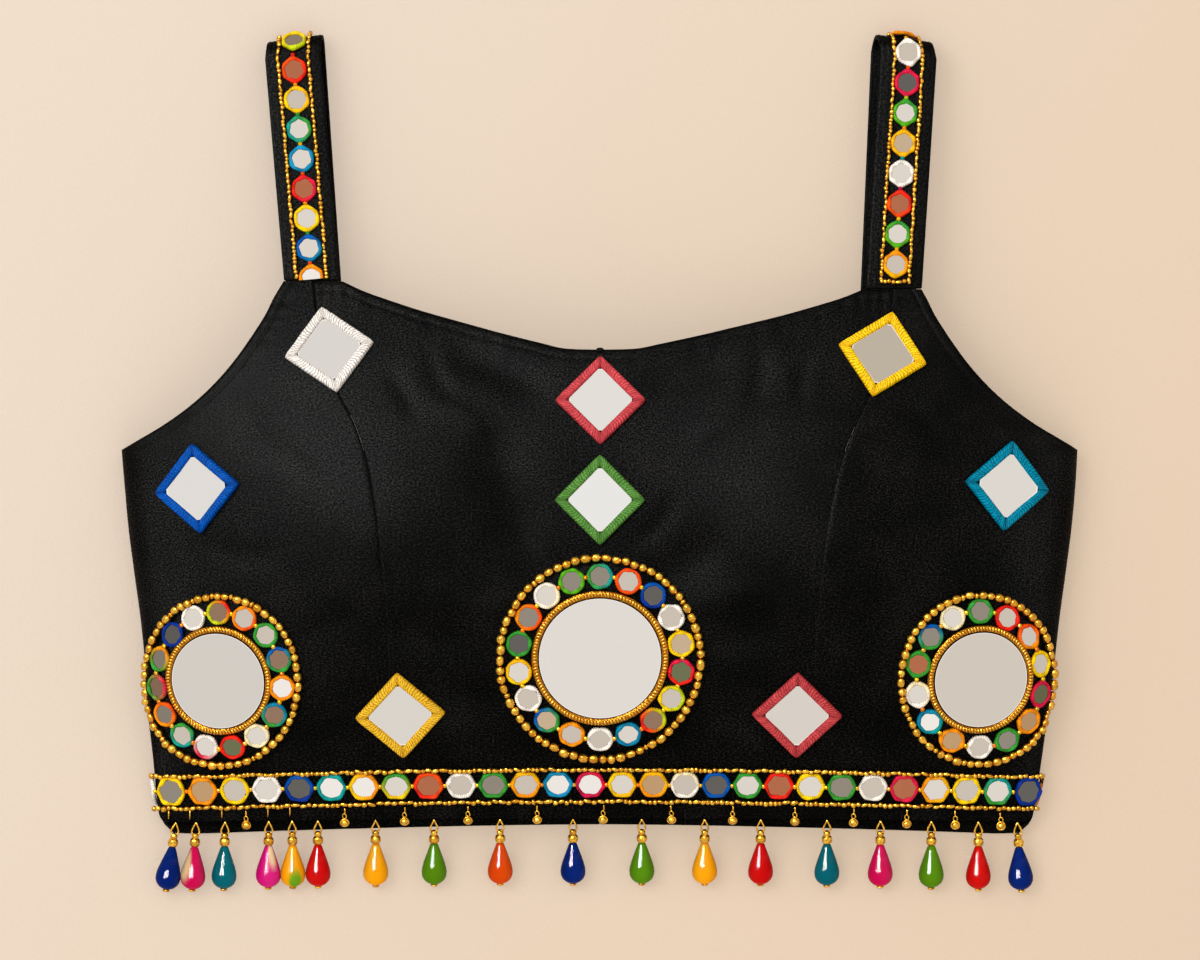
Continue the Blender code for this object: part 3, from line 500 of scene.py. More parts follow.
def on_front(arc, y, lift):
    """A point of the front's outer side, by its arc length from the centre line, moved out by lift."""
    side = LEFT if arc < 0 else RIGHT

    def reading(row):
        arcs = section(side, row)
        i = next(i for i in range(len(arcs) - 1) if abs(arc) <= arcs[i + 1])
        share = (abs(arc) - arcs[i]) / (arcs[i + 1] - arcs[i])
        return pi / 2 * mix(i ** (2 / 3), (i + 1) ** (2 / 3), share) ** 1.5 / SECTION_STEPS

    angle = between_sections(y, reading)
    turn, step = 0.01, 0.0005
    across = surface(side, angle + turn, y) - surface(side, max(angle - turn, step), y)
    along = surface(side, angle, y + step) - surface(side, angle, y - step)
    normal = across.cross(along).normalized() * SIGN[side]
    return surface(side, angle, y) + normal * lift


def seam_arc(side, y):
    return SIGN[side] * between_sections(y, lambda row: section(side, row)[SECTION_STEPS])


# Cotton: a plain weave with uneven yarns, a little lint, and a sheen that is stronger where it is
# worn. Its pattern reads the weave map, in metres over the cloth.
YARN = 0.00042
COTTON_DARK = (0.0004, 0.0004, 0.0003, 1)
COTTON_LIGHT = (0.0170, 0.0164, 0.0152, 1)
WARP_WANDERS, WEFT_WANDERS, WANDER_BY = 0.0040, 0.0031, YARN * 0.8
SLUB, FLECK, WORN_PATCH, WEAVE_RELIEF = 0.0011, 0.0007, 0.030, 0.0001

black_cotton = new_finish("black_cotton", Roughness=0.60, Specular_IOR_Level=0.004,
                          Coat_Roughness=0.46, Coat_IOR=1.12)
place = black_cotton.uv("weave")
crossing = 1.0
for axis, wanders in (("X", WARP_WANDERS), ("Y", WEFT_WANDERS)):
    across = black_cotton.part(place, axis) + black_cotton.noise(place, wanders) * WANDER_BY
    yarn = across * (pi / YARN)
    crossing = crossing * yarn.maths("SINE", yarn)
slub = black_cotton.noise(place, SLUB, 3, (1, 1.6, 1))
tone = slub * 0.90 + black_cotton.noise(place, WORN_PATCH, 3) * 0.35 + crossing * 0.06
shine = black_cotton.noise(place, FLECK, 2) * 0.6 + slub * 0.3 + crossing * 0.06
black_cotton.give("Base Color", black_cotton.blend(
    black_cotton.ramp(tone, 0.60, 0.90), COTTON_DARK, COTTON_LIGHT))
black_cotton.give("Coat Weight", black_cotton.ramp(shine, 0.36, 0.60))
bump(black_cotton, crossing * 0.25 + slub * 0.75, WEAVE_RELIEF)


def sew_on(name, bm, finishes, stands_for=(), flat=()):
    """Make a piece of the blouse from its bmesh. stands_for names the plain solids it replaces, and
    flat the finishes whose faces stay flat."""
    for face in bm.faces:
        face.smooth = face.material_index not in flat
    piece = new_object(name, bm, finishes)
    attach(piece, "root")
    if stands_for:
        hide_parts(*stands_for)
    return piece


FOLDED_EDGE = 0.22        # radius of a folded edge, as a share of the wall


def new_grid(bm, columns, rows):
    """A grid's points by their column and row."""
    made = bmesh.ops.create_grid(bm, x_segments=columns, y_segments=rows, size=1)["verts"]
    return {(round((vert.co.x + 1) / 2 * columns), round((vert.co.y + 1) / 2 * rows)): vert
            for vert in made}


def cloth(name, columns, rows, place, middle=0.5, outer_side_down=False, wall=CLOTH):
    """A shell of black cotton. place(across, up) takes shares from 0 to 1 and gives its outer side,
    and the weave's warp runs along the column at the share middle."""
    bm = bmesh.new()
    grid = new_grid(bm, columns, rows)
    for (column, row), vert in grid.items():
        vert.co = place(column / columns, row / rows)
    # The weave is measured out from the middle column and up from the lowest row.
    weave = {}
    start = round(middle * columns)
    for row in range(rows + 1):
        for way in (1, -1):
            run = 0
            for column in range(start, columns + 1 if way > 0 else -1, way):
                if column != start:
                    run += (grid[column, row].co - grid[column - way, row].co).length
                rise = 0
                if row:
                    rise = weave[grid[column, row - 1]][1]
                    rise += (grid[column, row].co - grid[column, row - 1].co).length
                weave[grid[column, row]] = (run * way, rise)
    layer = bm.loops.layers.uv.new("weave")
    for face in bm.faces:
        for loop in face.loops:
            loop[layer].uv = weave[loop.vert]
    if outer_side_down:
        bmesh.ops.reverse_faces(bm, faces=bm.faces)
    piece = sew_on(name, bm, [black_cotton], [name])
    solid = piece.modifiers.new("wall", "SOLIDIFY")
    solid.thickness, solid.offset, solid.use_even_offset = wall, -1, True
    rim = piece.modifiers.new("fold", "BEVEL")
    rim.width, rim.segments = wall * FOLDED_EDGE, 2
    rim.limit_method, rim.angle_limit = "ANGLE", radians(60)


CENTRE_COLUMNS, SIDE_COLUMNS = 132, 64
SIDE_ROWS, ARMHOLE_ROWS = 78, 50
FRONT_ROWS = SIDE_ROWS + ARMHOLE_ROWS
GROOVE_DEPTH, GROOVE_WIDTH = 0.0004, 0.0004     # a panel's edge turns down at a seam
ROLL_DEPTH, ROLL_WIDTH = 0.0005, 0.0009         # and a finished edge is rolled in
STITCHED_IN = 0.0045      # the topstitching runs this far inside a neckline or an armhole
PINCH_DEPTH, PINCH_WIDTH = 0.00022, 0.0009      # it draws the cloth in,
PUCKER_DEPTH, PUCKER_WIDTH = 0.00016, 0.0055    # and puckers it
PUCKER_PITCH, PUCKER_DRIFT = 0.0072, 0.031


def hem(x):
    return HEM_Y - HEM_DIP * (x / HEM_REACH) ** 2


def princess_point(side, share):
    y = mix(hem(PRINCESS_SEAM[0][1]), STRAP_BASE_Y[side], share)
    return SIGN[side] * read(PRINCESS_SEAM, 1 + side, y), y


def closer_at_ends(share, ease=0.85):
    """Move shares from 0 to 1 nearer to both ends."""
    return (1 + sin((2 * share - 1) * pi / 2 * ease) / sin(pi / 2 * ease)) / 2


def edge_relief(from_seam, from_edge, along):
    """How far the cloth sinks near a seam, and near a stitched edge, with its small puckers."""
    ripple = sin(along / PUCKER_PITCH * 2 * pi + 2.1 * sin(along / PUCKER_DRIFT * 2 * pi))
    return (GROOVE_DEPTH * exp(-(from_seam / GROOVE_WIDTH) ** 2)
            + ROLL_DEPTH * exp(-(from_edge / ROLL_WIDTH) ** 2)
            + PINCH_DEPTH * exp(-((from_edge - STITCHED_IN) / PINCH_WIDTH) ** 2)
            + PUCKER_DEPTH * ripple * exp(-((from_edge - STITCHED_IN) / PUCKER_WIDTH) ** 2))


def front_share(up):
    """Share of the front's height, for a share of its rows: one row meets the underarm."""
    row = up * FRONT_ROWS
    if row <= SIDE_ROWS:
        return UNDERARM_SHARE * row / SIDE_ROWS
    return mix(UNDERARM_SHARE, 1, sin((row - SIDE_ROWS) / ARMHOLE_ROWS * pi / 2))


def neck_y(across):
    """Height of the neckline, from -1 at the left princess seam to 1 at the right one."""
    side = LEFT if across < 0 else RIGHT
    return mix(NECK_Y, STRAP_BASE_Y[side], read(NECKLINE, 1, min(abs(across) / STRAP_INNER, 1)))


def centre_front(across, up):
    share = front_share(up)
    across = 2 * closer_at_ends(across) - 1
    side = LEFT if across < 0 else RIGHT
    seam_x = abs(princess_point(side, share)[0]) - PANEL_GAP / 2
    top = neck_y(across)
    low = hem(across * PRINCESS_SEAM[0][1])
    x = across * seam_x
    y = mix(low, top, share)
    relief = edge_relief((1 - abs(across)) * seam_x, top - y, x)
    return Vector((x, y, height(x, y) - relief))


def side_front(side, out, up):
    """out runs from 0 at the princess seam to 1 at the side. The last column is the upright edge."""
    row = up * FRONT_ROWS
    share = front_share(up)
    seam_x, seam_y = princess_point(side, share)
    seam_x = abs(seam_x) + PANEL_GAP / 2
    below_arm = row <= SIDE_ROWS
    if below_arm:
        edge_y = mix(hem(half_width(side, HEM_Y)), UNDERARM_Y, share / UNDERARM_SHARE)
        edge_x = half_width(side, edge_y)
        curved = (SIDE_COLUMNS - 1) / SIDE_COLUMNS
    else:
        edge_y = mix(UNDERARM_Y, STRAP_BASE_Y[side], (share - UNDERARM_SHARE) / (1 - UNDERARM_SHARE))
        edge_x = read(ARMHOLE, 1, edge_y)
        curved = 1
    turn = min(1, out / curved) ** 1.25
    angle = mix(asin(SEAM_INNER ** 1.5), pi / 2, turn)
    spread = (sin(angle) ** (2 / 3) - SEAM_INNER) / (1 - SEAM_INNER)
    x = SIGN[side] * mix(seam_x, edge_x, spread)
    y = mix(seam_y, edge_y, spread)
    if out > curved:
        return Vector((x, y, FRONT_EDGE_Z))
    from_edge = 1 if below_arm else (1 - spread) * (edge_x - seam_x)
    relief = edge_relief(spread * (edge_x - seam_x), from_edge, y)
    return Vector((x, y, height(x, y) - relief))


cloth("front_centre", CENTRE_COLUMNS, FRONT_ROWS, centre_front)
cloth("front_side_left", SIDE_COLUMNS, FRONT_ROWS,
      lambda across, up: side_front(LEFT, 1 - across, up), middle=1)
cloth("front_side_right", SIDE_COLUMNS, FRONT_ROWS,
      lambda across, up: side_front(RIGHT, across, up), middle=0)


# === Back ===
# A low back of the same cotton in two plain halves. It lies flat on the card under the front, and
# rolls up to meet it along the side seams.

BACK_COLUMNS, CURL_COLUMNS, BACK_ROWS = 30, 10, 40


def back_half(side, out, up):
    """out runs from 0 at the centre line to 1 at the upright edge past the curl."""
    column = out * (BACK_COLUMNS + CURL_COLUMNS + 1)
    guess = half_width(side, BACK_HEM_Y) * min(column / BACK_COLUMNS, 1)
    low = BACK_HEM_Y - BACK_HEM_DIP * min(guess / HEM_REACH, 1) ** 1.5
    y = mix(low, BACK_TOP_Y, up)
    flat = half_width(side, y) - CURL
    if column <= BACK_COLUMNS:
        return Vector((SIGN[side] * mix(SEAM_GAP / 2, flat, column / BACK_COLUMNS), y, 0))
    if column > BACK_COLUMNS + CURL_COLUMNS:
        return Vector((SIGN[side] * (flat + CURL), y, BACK_EDGE_Z))
    turn = pi / 2 * (column - BACK_COLUMNS) / CURL_COLUMNS
    return Vector((SIGN[side] * (flat + CURL * sin(turn)), y, CURL - CURL * cos(turn)))


for side, name in ((LEFT, "back_left"), (RIGHT, "back_right")):
    cloth(name, BACK_COLUMNS + CURL_COLUMNS + 1, BACK_ROWS,
          lambda across, up: back_half(side, across if side == RIGHT else 1 - across, up),
          middle=float(side == LEFT), outer_side_down=True)


# === Shoulder straps ===
# Each is a strip of the same cotton, folded in four and stitched down both edges. It is sewn to the
# front, bends over at the shoulder, and runs back along the card to the top edge of the back.

STRAP_CLOTH = 0.0020
STRAP_HALF = 0.0129
STRAP_BEND = 0.0080       # outer radius of the bend at the shoulder
STRAP_TOP_Y = 0.1928
STRAP_FOLD_TILT = 0.14    # the bend's line falls outwards by this slope
STRAPS = (  # x at the front seam, before the bend, after the bend, at the back's top edge
    (-0.1320, -0.1408, -0.1389, -0.1262),
    (0.1347, 0.1416, 0.1372, 0.1292),
)
STRAP_FRONT_ROWS, STRAP_BEND_ROWS, STRAP_REAR_ROWS = 45, 24, 40
STRAP_COLUMNS = 18
STRAP_STITCHED_IN = 0.0016
STRAP_ROLL_DEPTH, STRAP_ROLL_WIDTH = 0.0004, 0.0006


def strap_run(side):
    """Stations along a strap's outer side: middle point, and the slope of its width in Y and in Z."""
    base_x, bend_x, over_x, rear_x = STRAPS[side]
    base_y = STRAP_BASE_Y[side] + SEAM_GAP
    bend_y = STRAP_TOP_Y - STRAP_BEND
    rear_y = BACK_TOP_Y + SEAM_GAP
    base_z = height(base_x, STRAP_BASE_Y[side])
    base_tilt = (height(base_x + STRAP_HALF, STRAP_BASE_Y[side])
                 - height(base_x - STRAP_HALF, STRAP_BASE_Y[side])) / (2 * STRAP_HALF)
    fold_tilt = -SIGN[side] * STRAP_FOLD_TILT
    stations = []
    for i in range(STRAP_FRONT_ROWS):
        share = i / STRAP_FRONT_ROWS
        middle = Vector((mix(base_x, bend_x, share), mix(base_y, bend_y, share),
                         mix(base_z, 2 * STRAP_BEND, share)))
        stations.append((middle, fold_tilt * share, base_tilt * max(0, 1 - 3 * share)))
    for i in range(STRAP_BEND_ROWS + 1):
        turn = pi * i / STRAP_BEND_ROWS
        middle = Vector((mix(bend_x, over_x, i / STRAP_BEND_ROWS),
                         bend_y + STRAP_BEND * sin(turn), STRAP_BEND * (1 + cos(turn))))
        stations.append((middle, fold_tilt, 0))
    for i in range(1, STRAP_REAR_ROWS + 1):
        share = i / STRAP_REAR_ROWS
        middle = Vector((mix(over_x, rear_x, share), mix(bend_y, rear_y, share), 0))
        stations.append((middle, fold_tilt * (1 - share), 0))
    return stations


STRAP_RUNS = [strap_run(LEFT), strap_run(RIGHT)]
STRAP_ARCS = [arc_lengths([middle for middle, _, _ in run]) for run in STRAP_RUNS]


def on_strap(side, along, across, lift):
    """A point of a strap's outer side, by its distance from the front seam and from the middle."""
    run, arcs = STRAP_RUNS[side], STRAP_ARCS[side]
    i = next(i for i in range(len(run) - 1) if along <= arcs[i + 1] or i == len(run) - 2)
    share = (along - arcs[i]) / (arcs[i + 1] - arcs[i])

    def station_normal(n):
        before, after = neighbours(run, n)
        width = Vector((1, run[n][1], run[n][2]))
        return width.cross(after[0] - before[0]).normalized()

    (a, a_y, a_z), (b, b_y, b_z) = run[i], run[i + 1]
    width = Vector((1, mix(a_y, b_y, share), mix(a_z, b_z, share)))
    normal = station_normal(i).lerp(station_normal(i + 1), share).normalized()
    return a.lerp(b, share) + width * across + normal * lift


def strap_cloth(side, across, up):
    along = STRAP_ARCS[side][round(up * (len(STRAP_RUNS[side]) - 1))]
    out = (2 * closer_at_ends(across, 0.7) - 1) * STRAP_HALF
    from_edge = STRAP_HALF - abs(out)
    sunk = STRAP_ROLL_DEPTH * exp(-(from_edge / STRAP_ROLL_WIDTH) ** 2)
    sunk += PINCH_DEPTH * exp(-((from_edge - STRAP_STITCHED_IN) / STRAP_ROLL_WIDTH) ** 2)
    return on_strap(side, along, out, -sunk)


for side, name in ((LEFT, "strap_left"), (RIGHT, "strap_right")):
    cloth(name, STRAP_COLUMNS, len(STRAP_RUNS[side]) - 1,
          lambda across, up: strap_cloth(side, across, up), wall=STRAP_CLOTH)


# === Topstitching ===
# Black cotton thread in a lockstitch, 4.5 mm inside the neckline and armholes and close to the
# edges of the straps. A knot of it holds the neckline's middle.

STITCH, STITCH_PITCH, THREAD_THICK, STITCH_SUNK = 0.0023, 0.0031, 0.00042, 0.00005
STITCH_START = 0.0020     # the armhole's stitches start this far from the side seam
STITCH_BLACK = (0.0050, 0.0049, 0.0046, 1)
THREAD_FLECK, THREAD_FUZZ, THREAD_RELIEF = 0.0006, 0.0002, 0.0001
NECK_KNOTS = (  # y, turn, lift, length, width
    (NECK_Y - 0.0002, 0, 0.0002, 0.0036, 0.0024), (0.0042, 1.4, 0, 0.0030, 0.0006),
)

stitch_thread = new_finish("black_thread", Roughness=0.6, Specular_IOR_Level=0.08)
place = stitch_thread.place()
stitch_thread.give("Base Color", stitch_thread.blend(
    stitch_thread.noise(place, THREAD_FLECK), COTTON_DARK, STITCH_BLACK))
bump(stitch_thread, stitch_thread.noise(place, THREAD_FUZZ), THREAD_RELIEF)


def start_piece():
    """A bmesh whose points carry a colour."""
    bm = bmesh.new()
    bm.verts.layers.float_color.new("colour")
    return bm


def stand(place, u, v, turn=0.0, lift=0.0):
    """A frame on the cloth at u, v: x runs over it, turned by turn, and z points out of it."""
    step = 0.0008
    c, s = cos(turn) * step, sin(turn) * step
    along = (place(u + c, v + s, lift) - place(u - c, v - s, lift)).normalized()
    side = place(u - s, v + c, lift) - place(u + s, v - c, lift)
    return frame_at(place(u, v, lift), along, along.cross(side).normalized())


def bead(bm, where, long, wide, colour=(1, 1, 1, 1), stuff=0, sides=8, rings=4, high=None):
    """A bead, pierced along the x of the frame that it stands in."""
    layer = bm.verts.layers.float_color["colour"]
    made = bmesh.ops.create_uvsphere(bm, u_segments=sides, v_segments=rings, radius=1)["verts"]
    for vert in made:
        vert[layer] = colour
        vert.co.xy = vert.co.xy * max(vert.co.xy.length, 0.05) ** -0.35
        for face in vert.link_faces:
            face.material_index = stuff
    shape = where @ Matrix.Diagonal((long * 0.53, wide / 2, (high or wide) / 2, 1))
    bmesh.ops.transform(bm, verts=made, matrix=shape @ Matrix.Rotation(pi / 2, 4, "Y"))


def line_length(points):
    return sum(hypot(b[0] - a[0], b[1] - a[1]) for a, b in zip(points, points[1:]))


def on_line(points, at):
    """Where the line through points is at a distance along it, and its slant there."""
    for i, (a, b) in enumerate(zip(points, points[1:])):
        run = hypot(b[0] - a[0], b[1] - a[1])
        if at <= run or i == len(points) - 2:
            share = min(at / run, 1)
            return mix(a[0], b[0], share), mix(a[1], b[1], share), atan2(b[1] - a[1], b[0] - a[0])
        at -= run


def stitch_line(bm, rng, place, points):
    """A row of stitches through points, given as u and v on the cloth."""
    at, end = STITCH_PITCH, line_length(points) - STITCH_PITCH / 2
    while at < end:
        u, v, slant = on_line(points, at)
        slant += rng.uniform(-0.06, 0.06)
        bead(bm, stand(place, u, v, slant, -STITCH_SUNK), STITCH, THREAD_THICK, sides=5)
        at += STITCH_PITCH * rng.uniform(0.97, 1.03)


def over_front(x, y, lift):
    """A point over the front, by its place on the card."""
    step = 0.0005
    across = Vector((2 * step, 0, height(x + step, y) - height(x - step, y)))
    along = Vector((0, 2 * step, height(x, y + step) - height(x, y - step)))
    return Vector((x, y, height(x, y))) + across.cross(along).normalized() * lift


def moved_in(points, by):
    """The same line, moved to its left by a distance."""
    moved = []
    for i, (x, y) in enumerate(points):
        before, after = neighbours(points, i)
        run = Vector((after[0] - before[0], after[1] - before[1])).normalized()
        moved.append((x - run.y * by, y + run.x * by))
    return moved


rng = Random(4)
topstitch = start_piece()
for side in (LEFT, RIGHT):
    seam_x = abs(princess_point(side, 1)[0])
    shares = [i / 24 for i in range(25)]
    neckline = [(SIGN[side] * seam_x * s, neck_y(SIGN[side] * s)) for s in shares]
    stitch_line(topstitch, rng, over_front, moved_in(neckline, -SIGN[side] * STITCHED_IN))
    armhole = [(SIGN[side] * read(ARMHOLE, 1, y), y) for y in
               (mix(UNDERARM_Y + STITCH_START, STRAP_BASE_Y[side], s) for s in shares)]
    stitch_line(topstitch, rng, over_front, moved_in(armhole, SIGN[side] * STITCHED_IN))
    for edge in (-1, 1):
        out = edge * (STRAP_HALF - STRAP_STITCHED_IN)
        stitch_line(topstitch, rng, lambda u, v, lift: on_strap(side, u, v, lift),
                    [(along, out) for along in STRAP_ARCS[side][:-2:4]])
for y, turn, lift, long, wide in NECK_KNOTS:
    bead(topstitch, stand(over_front, 0, y, turn, lift), long, wide)
sew_on("topstitching", topstitch, [stitch_thread])


# === Diamonds ===
# Eight square mirrors, each held in a frame of cord wound with silk thread. The four bars meet in
# mitres that are tied down with a stitch. The glass has clipped corners and a ground edge.

DIAMOND_HALF = 0.0149     # centre of a diamond to the outer edge of a bar
DIAMOND_BAR = 0.0044
DIAMOND_HEIGHT = 0.0030
DIAMOND_MIRROR = 0.0014
LIFT = 0.0004             # what is sewn on lies this far off the cloth
BAR_PROFILE = (  # out from the bar's middle line, height, as shares
    (-1.00, 0.00), (-0.98, 0.34), (-0.86, 0.70), (-0.58, 0.95), (-0.16, 0.98), (0.00, 0.92),
    (0.16, 0.98), (0.58, 0.95), (0.86, 0.70), (0.98, 0.34), (1.00, 0.00),
)
BAR_STEPS = 16
BAR_ROUND = 0.0007        # way of the thread round the bar from one point of it to the next
MITRE_REACH, MITRE_NOTCH = 0.0011, 0.0006       # how far the tied mitres draw the cord in
MITRE_TUCK, BAR_WAVE = 0.018, 0.004             # as shares of the way out from the middle
TIE_THICK = 0.0005
GLASS_INSET = 0.0006      # width of the ground edge
GLASS_CLIP = 0.0013
SMUDGE, GROUND_SPECK = 0.0065, 0.0008
DULL_SILVER = (0.60, 0.58, 0.55, 1)
GROUND_LIGHT, GROUND_DEEP = (0.93, 0.92, 0.90, 1), (0.78, 0.77, 0.74, 1)

DIAMONDS = (  # name, x, y, turn, silk where it is light and where it is deep, glass
    ("white", -0.1238, 0.0495, 10, (0.860, 0.820, 0.780), (0.580, 0.520, 0.460), (0.72, 0.71, 0.71)),
    ("yellow", 0.1292, 0.0474, -13, (0.990, 0.640, 0.009), (0.880, 0.400, 0.003), (0.52, 0.47, 0.40)),
    ("crimson", 0.0002, 0.0264, 0, (0.640, 0.072, 0.084), (0.250, 0.012, 0.020), (0.78, 0.78, 0.78)),
    ("green", 0.0000, -0.0190, 0, (0.112, 0.296, 0.054), (0.016, 0.086, 0.009), (0.83, 0.85, 0.87)),
    ("blue", -0.1843, -0.0138, 6, (0.000, 0.088, 0.450), (0.000, 0.016, 0.135), (0.76, 0.76, 0.77)),
    ("teal", 0.1863, -0.0126, -6, (0.000, 0.265, 0.420), (0.000, 0.074, 0.133), (0.74, 0.73, 0.71)),
    ("ochre", -0.0913, -0.1172, 4, (0.840, 0.500, 0.029), (0.620, 0.270, 0.005), (0.72, 0.70, 0.67)),
    ("pink", 0.0901, -0.1171, -1, (0.610, 0.068, 0.073), (0.245, 0.012, 0.020), (0.70, 0.67, 0.64)),
)

STRAND, STRAND_WANDERS, FUZZ = 0.0012, 0.0016, 0.0006
SILK_GROOVE_SHADE, SILK_RELIEF = 0.68, 0.00030    # painted shade between the threads, and relief, of the diamonds' frames
CORD_GROOVE_SHADE, CORD_RELIEF = 0.36, 0.00014    # the same, of the little mirrors' frames


def wound_silk(name, deep, relief):
    """Stranded silk: fine threads laid side by side across the cord, with a soft gloss along them.
    Its colour is the point's own, darker by the share deep between the threads: painted shade in the
    grooves."""
    finish = new_finish(name, Roughness=0.32, Specular_IOR_Level=0.04)
    place = finish.uv("wound")
    across = finish.part(place, "X")
    slant = across.maths("ABSOLUTE", across) * 0.25
    wander = finish.noise(place, STRAND_WANDERS, 3) * STRAND_WANDERS
    strands = (finish.part(place, "Y") + slant + wander) * (2 * pi / STRAND)
    strands = strands.maths("SINE", strands) * 0.5 + 0.5
    fuzz = finish.noise(place, FUZZ, 3)
    depth = finish.ramp(strands * 0.50 + fuzz * 0.90, 0.30, 0.95)
    own = finish.own_colour()
    finish.give("Base Color", finish.blend(depth, finish.blend(deep, own, (0, 0, 0, 1)), own))
    bump(finish, strands * 0.5 + fuzz * 0.6, relief, 0.8)
    return finish


silk = wound_silk("silk_thread", SILK_GROOVE_SHADE, SILK_RELIEF)
cord_silk = wound_silk("silk_cord", CORD_GROOVE_SHADE, CORD_RELIEF)

# Mirror glass, silvered behind: a little dull with age, and toned by the point's colour, which paints
# in what each mirror reflects.
glass = new_finish("mirror_glass", Metallic=1.0, IOR=1.5)
smudge = glass.noise(glass.place(), SMUDGE, 4)
own = glass.own_colour()
glass.give("Roughness", glass.ramp(smudge, 0.35, 0.95) * 0.14 + 0.05)
glass.give("Base Color", glass.blend(glass.ramp(smudge, 0.55, 0.95) * 0.25, own,
                                     glass.blend(0.5, own, DULL_SILVER)))

ground_edge = new_finish("ground_glass", Roughness=0.35, Specular_IOR_Level=0.8)
ground_edge.give("Base Color", ground_edge.blend(
    ground_edge.noise(ground_edge.place(), GROUND_SPECK), GROUND_LIGHT, GROUND_DEEP))

SAME_POINT = 0.000002     # points as near as this are merged


def rolled_grid(bm, columns, rows, place):
    """A grid put in place point by point and closed where its edges meet. place(column, row)
    returns a point, its colour, and where it is on the wound thread, in metres."""
    colours = bm.verts.layers.float_color["colour"]
    wound = bm.loops.layers.uv.get("wound") or bm.loops.layers.uv.new("wound")
    spots = {}
    for (column, row), vert in new_grid(bm, columns, rows).items():
        vert.co, vert[colours], spots[vert] = place(column, row)
    faces = {face for vert in spots for face in vert.link_faces}
    for face in faces:
        for loop in face.loops:
            loop[wound].uv = spots[loop.vert]
    bmesh.ops.remove_doubles(bm, verts=list(spots), dist=SAME_POINT)
    bmesh.ops.recalc_face_normals(bm, faces=[face for face in faces if face.is_valid])


def mirror_plate(bm, lay, sides, reach, thickness, tone, uneven=None):
    """A plate of mirror glass. lay(point) puts its points in place, and uneven is a random source
    for the outline of one cut by hand."""
    layer = bm.verts.layers.float_color["colour"]
    made = bmesh.ops.create_cone(bm, cap_ends=True, segments=sides, radius1=reach, radius2=reach,
                                 depth=thickness)["verts"]
    reaches = {}
    for vert in made:
        if uneven:
            spoke = round(atan2(vert.co.y, vert.co.x) / (2 * pi) * sides * 4)
            reaches.setdefault(spoke, uneven.uniform(0.93, 1.05))
            vert.co.xy = vert.co.xy * reaches[spoke]
        vert[layer] = (*tone, 1)
        vert.co = lay(vert.co + Vector((0, 0, thickness / 2)))


def sew_mirror(name, bm, where, edge, plain):
    """Grind the upper edge of a mirror plate and sew it on in place of a plain solid."""
    out = where.to_3x3().col[2]
    top = max(bm.faces, key=lambda face: face.calc_center_median().dot(out))
    for rim in bmesh.ops.inset_region(bm, faces=[top], thickness=edge, depth=edge / 8)["faces"]:
        rim.material_index = 1
    sew_on(name, bm, [glass, ground_edge], [plain], flat=(0, 1))


def patch(x, y, turn=0):
    """Local coordinates on the cloth round a point: du and dv run over the cloth, turned by turn."""
    c, s = cos(radians(turn)), sin(radians(turn))
    reach = 0.006
    rise = height(x, y + reach) - height(x, y - reach)
    lean = cos(atan2(rise, 2 * reach))

    def place(du, dv, lift):
        at = y + (du * s + dv * c) * lean
        return on_front(arc_at(x, at) + du * c - dv * s, at, lift)

    return place


def turns(steps):
    """The angles of equal steps once round."""
    return [2 * pi * i / steps for i in range(steps)]


def flat_seat(place, reach, low):
    """A frame for a stiff plate over a patch, clear of the cloth under it by low."""
    rim = [place(reach * cos(angle), reach * sin(angle), 0) for angle in turns(12)]
    across = (rim[0] - rim[6]).normalized()
    normal = across.cross(rim[3] - rim[9]).normalized()
    middle = place(0, 0, 0)
    tallest = max((point - middle).dot(normal) for point in [*rim, middle])
    return frame_at(middle + normal * (tallest + low), across, normal)


def shade(light, deep, share):
    return tuple(mix(a, b, share) for a, b in zip(light, deep)) + (1.0,)


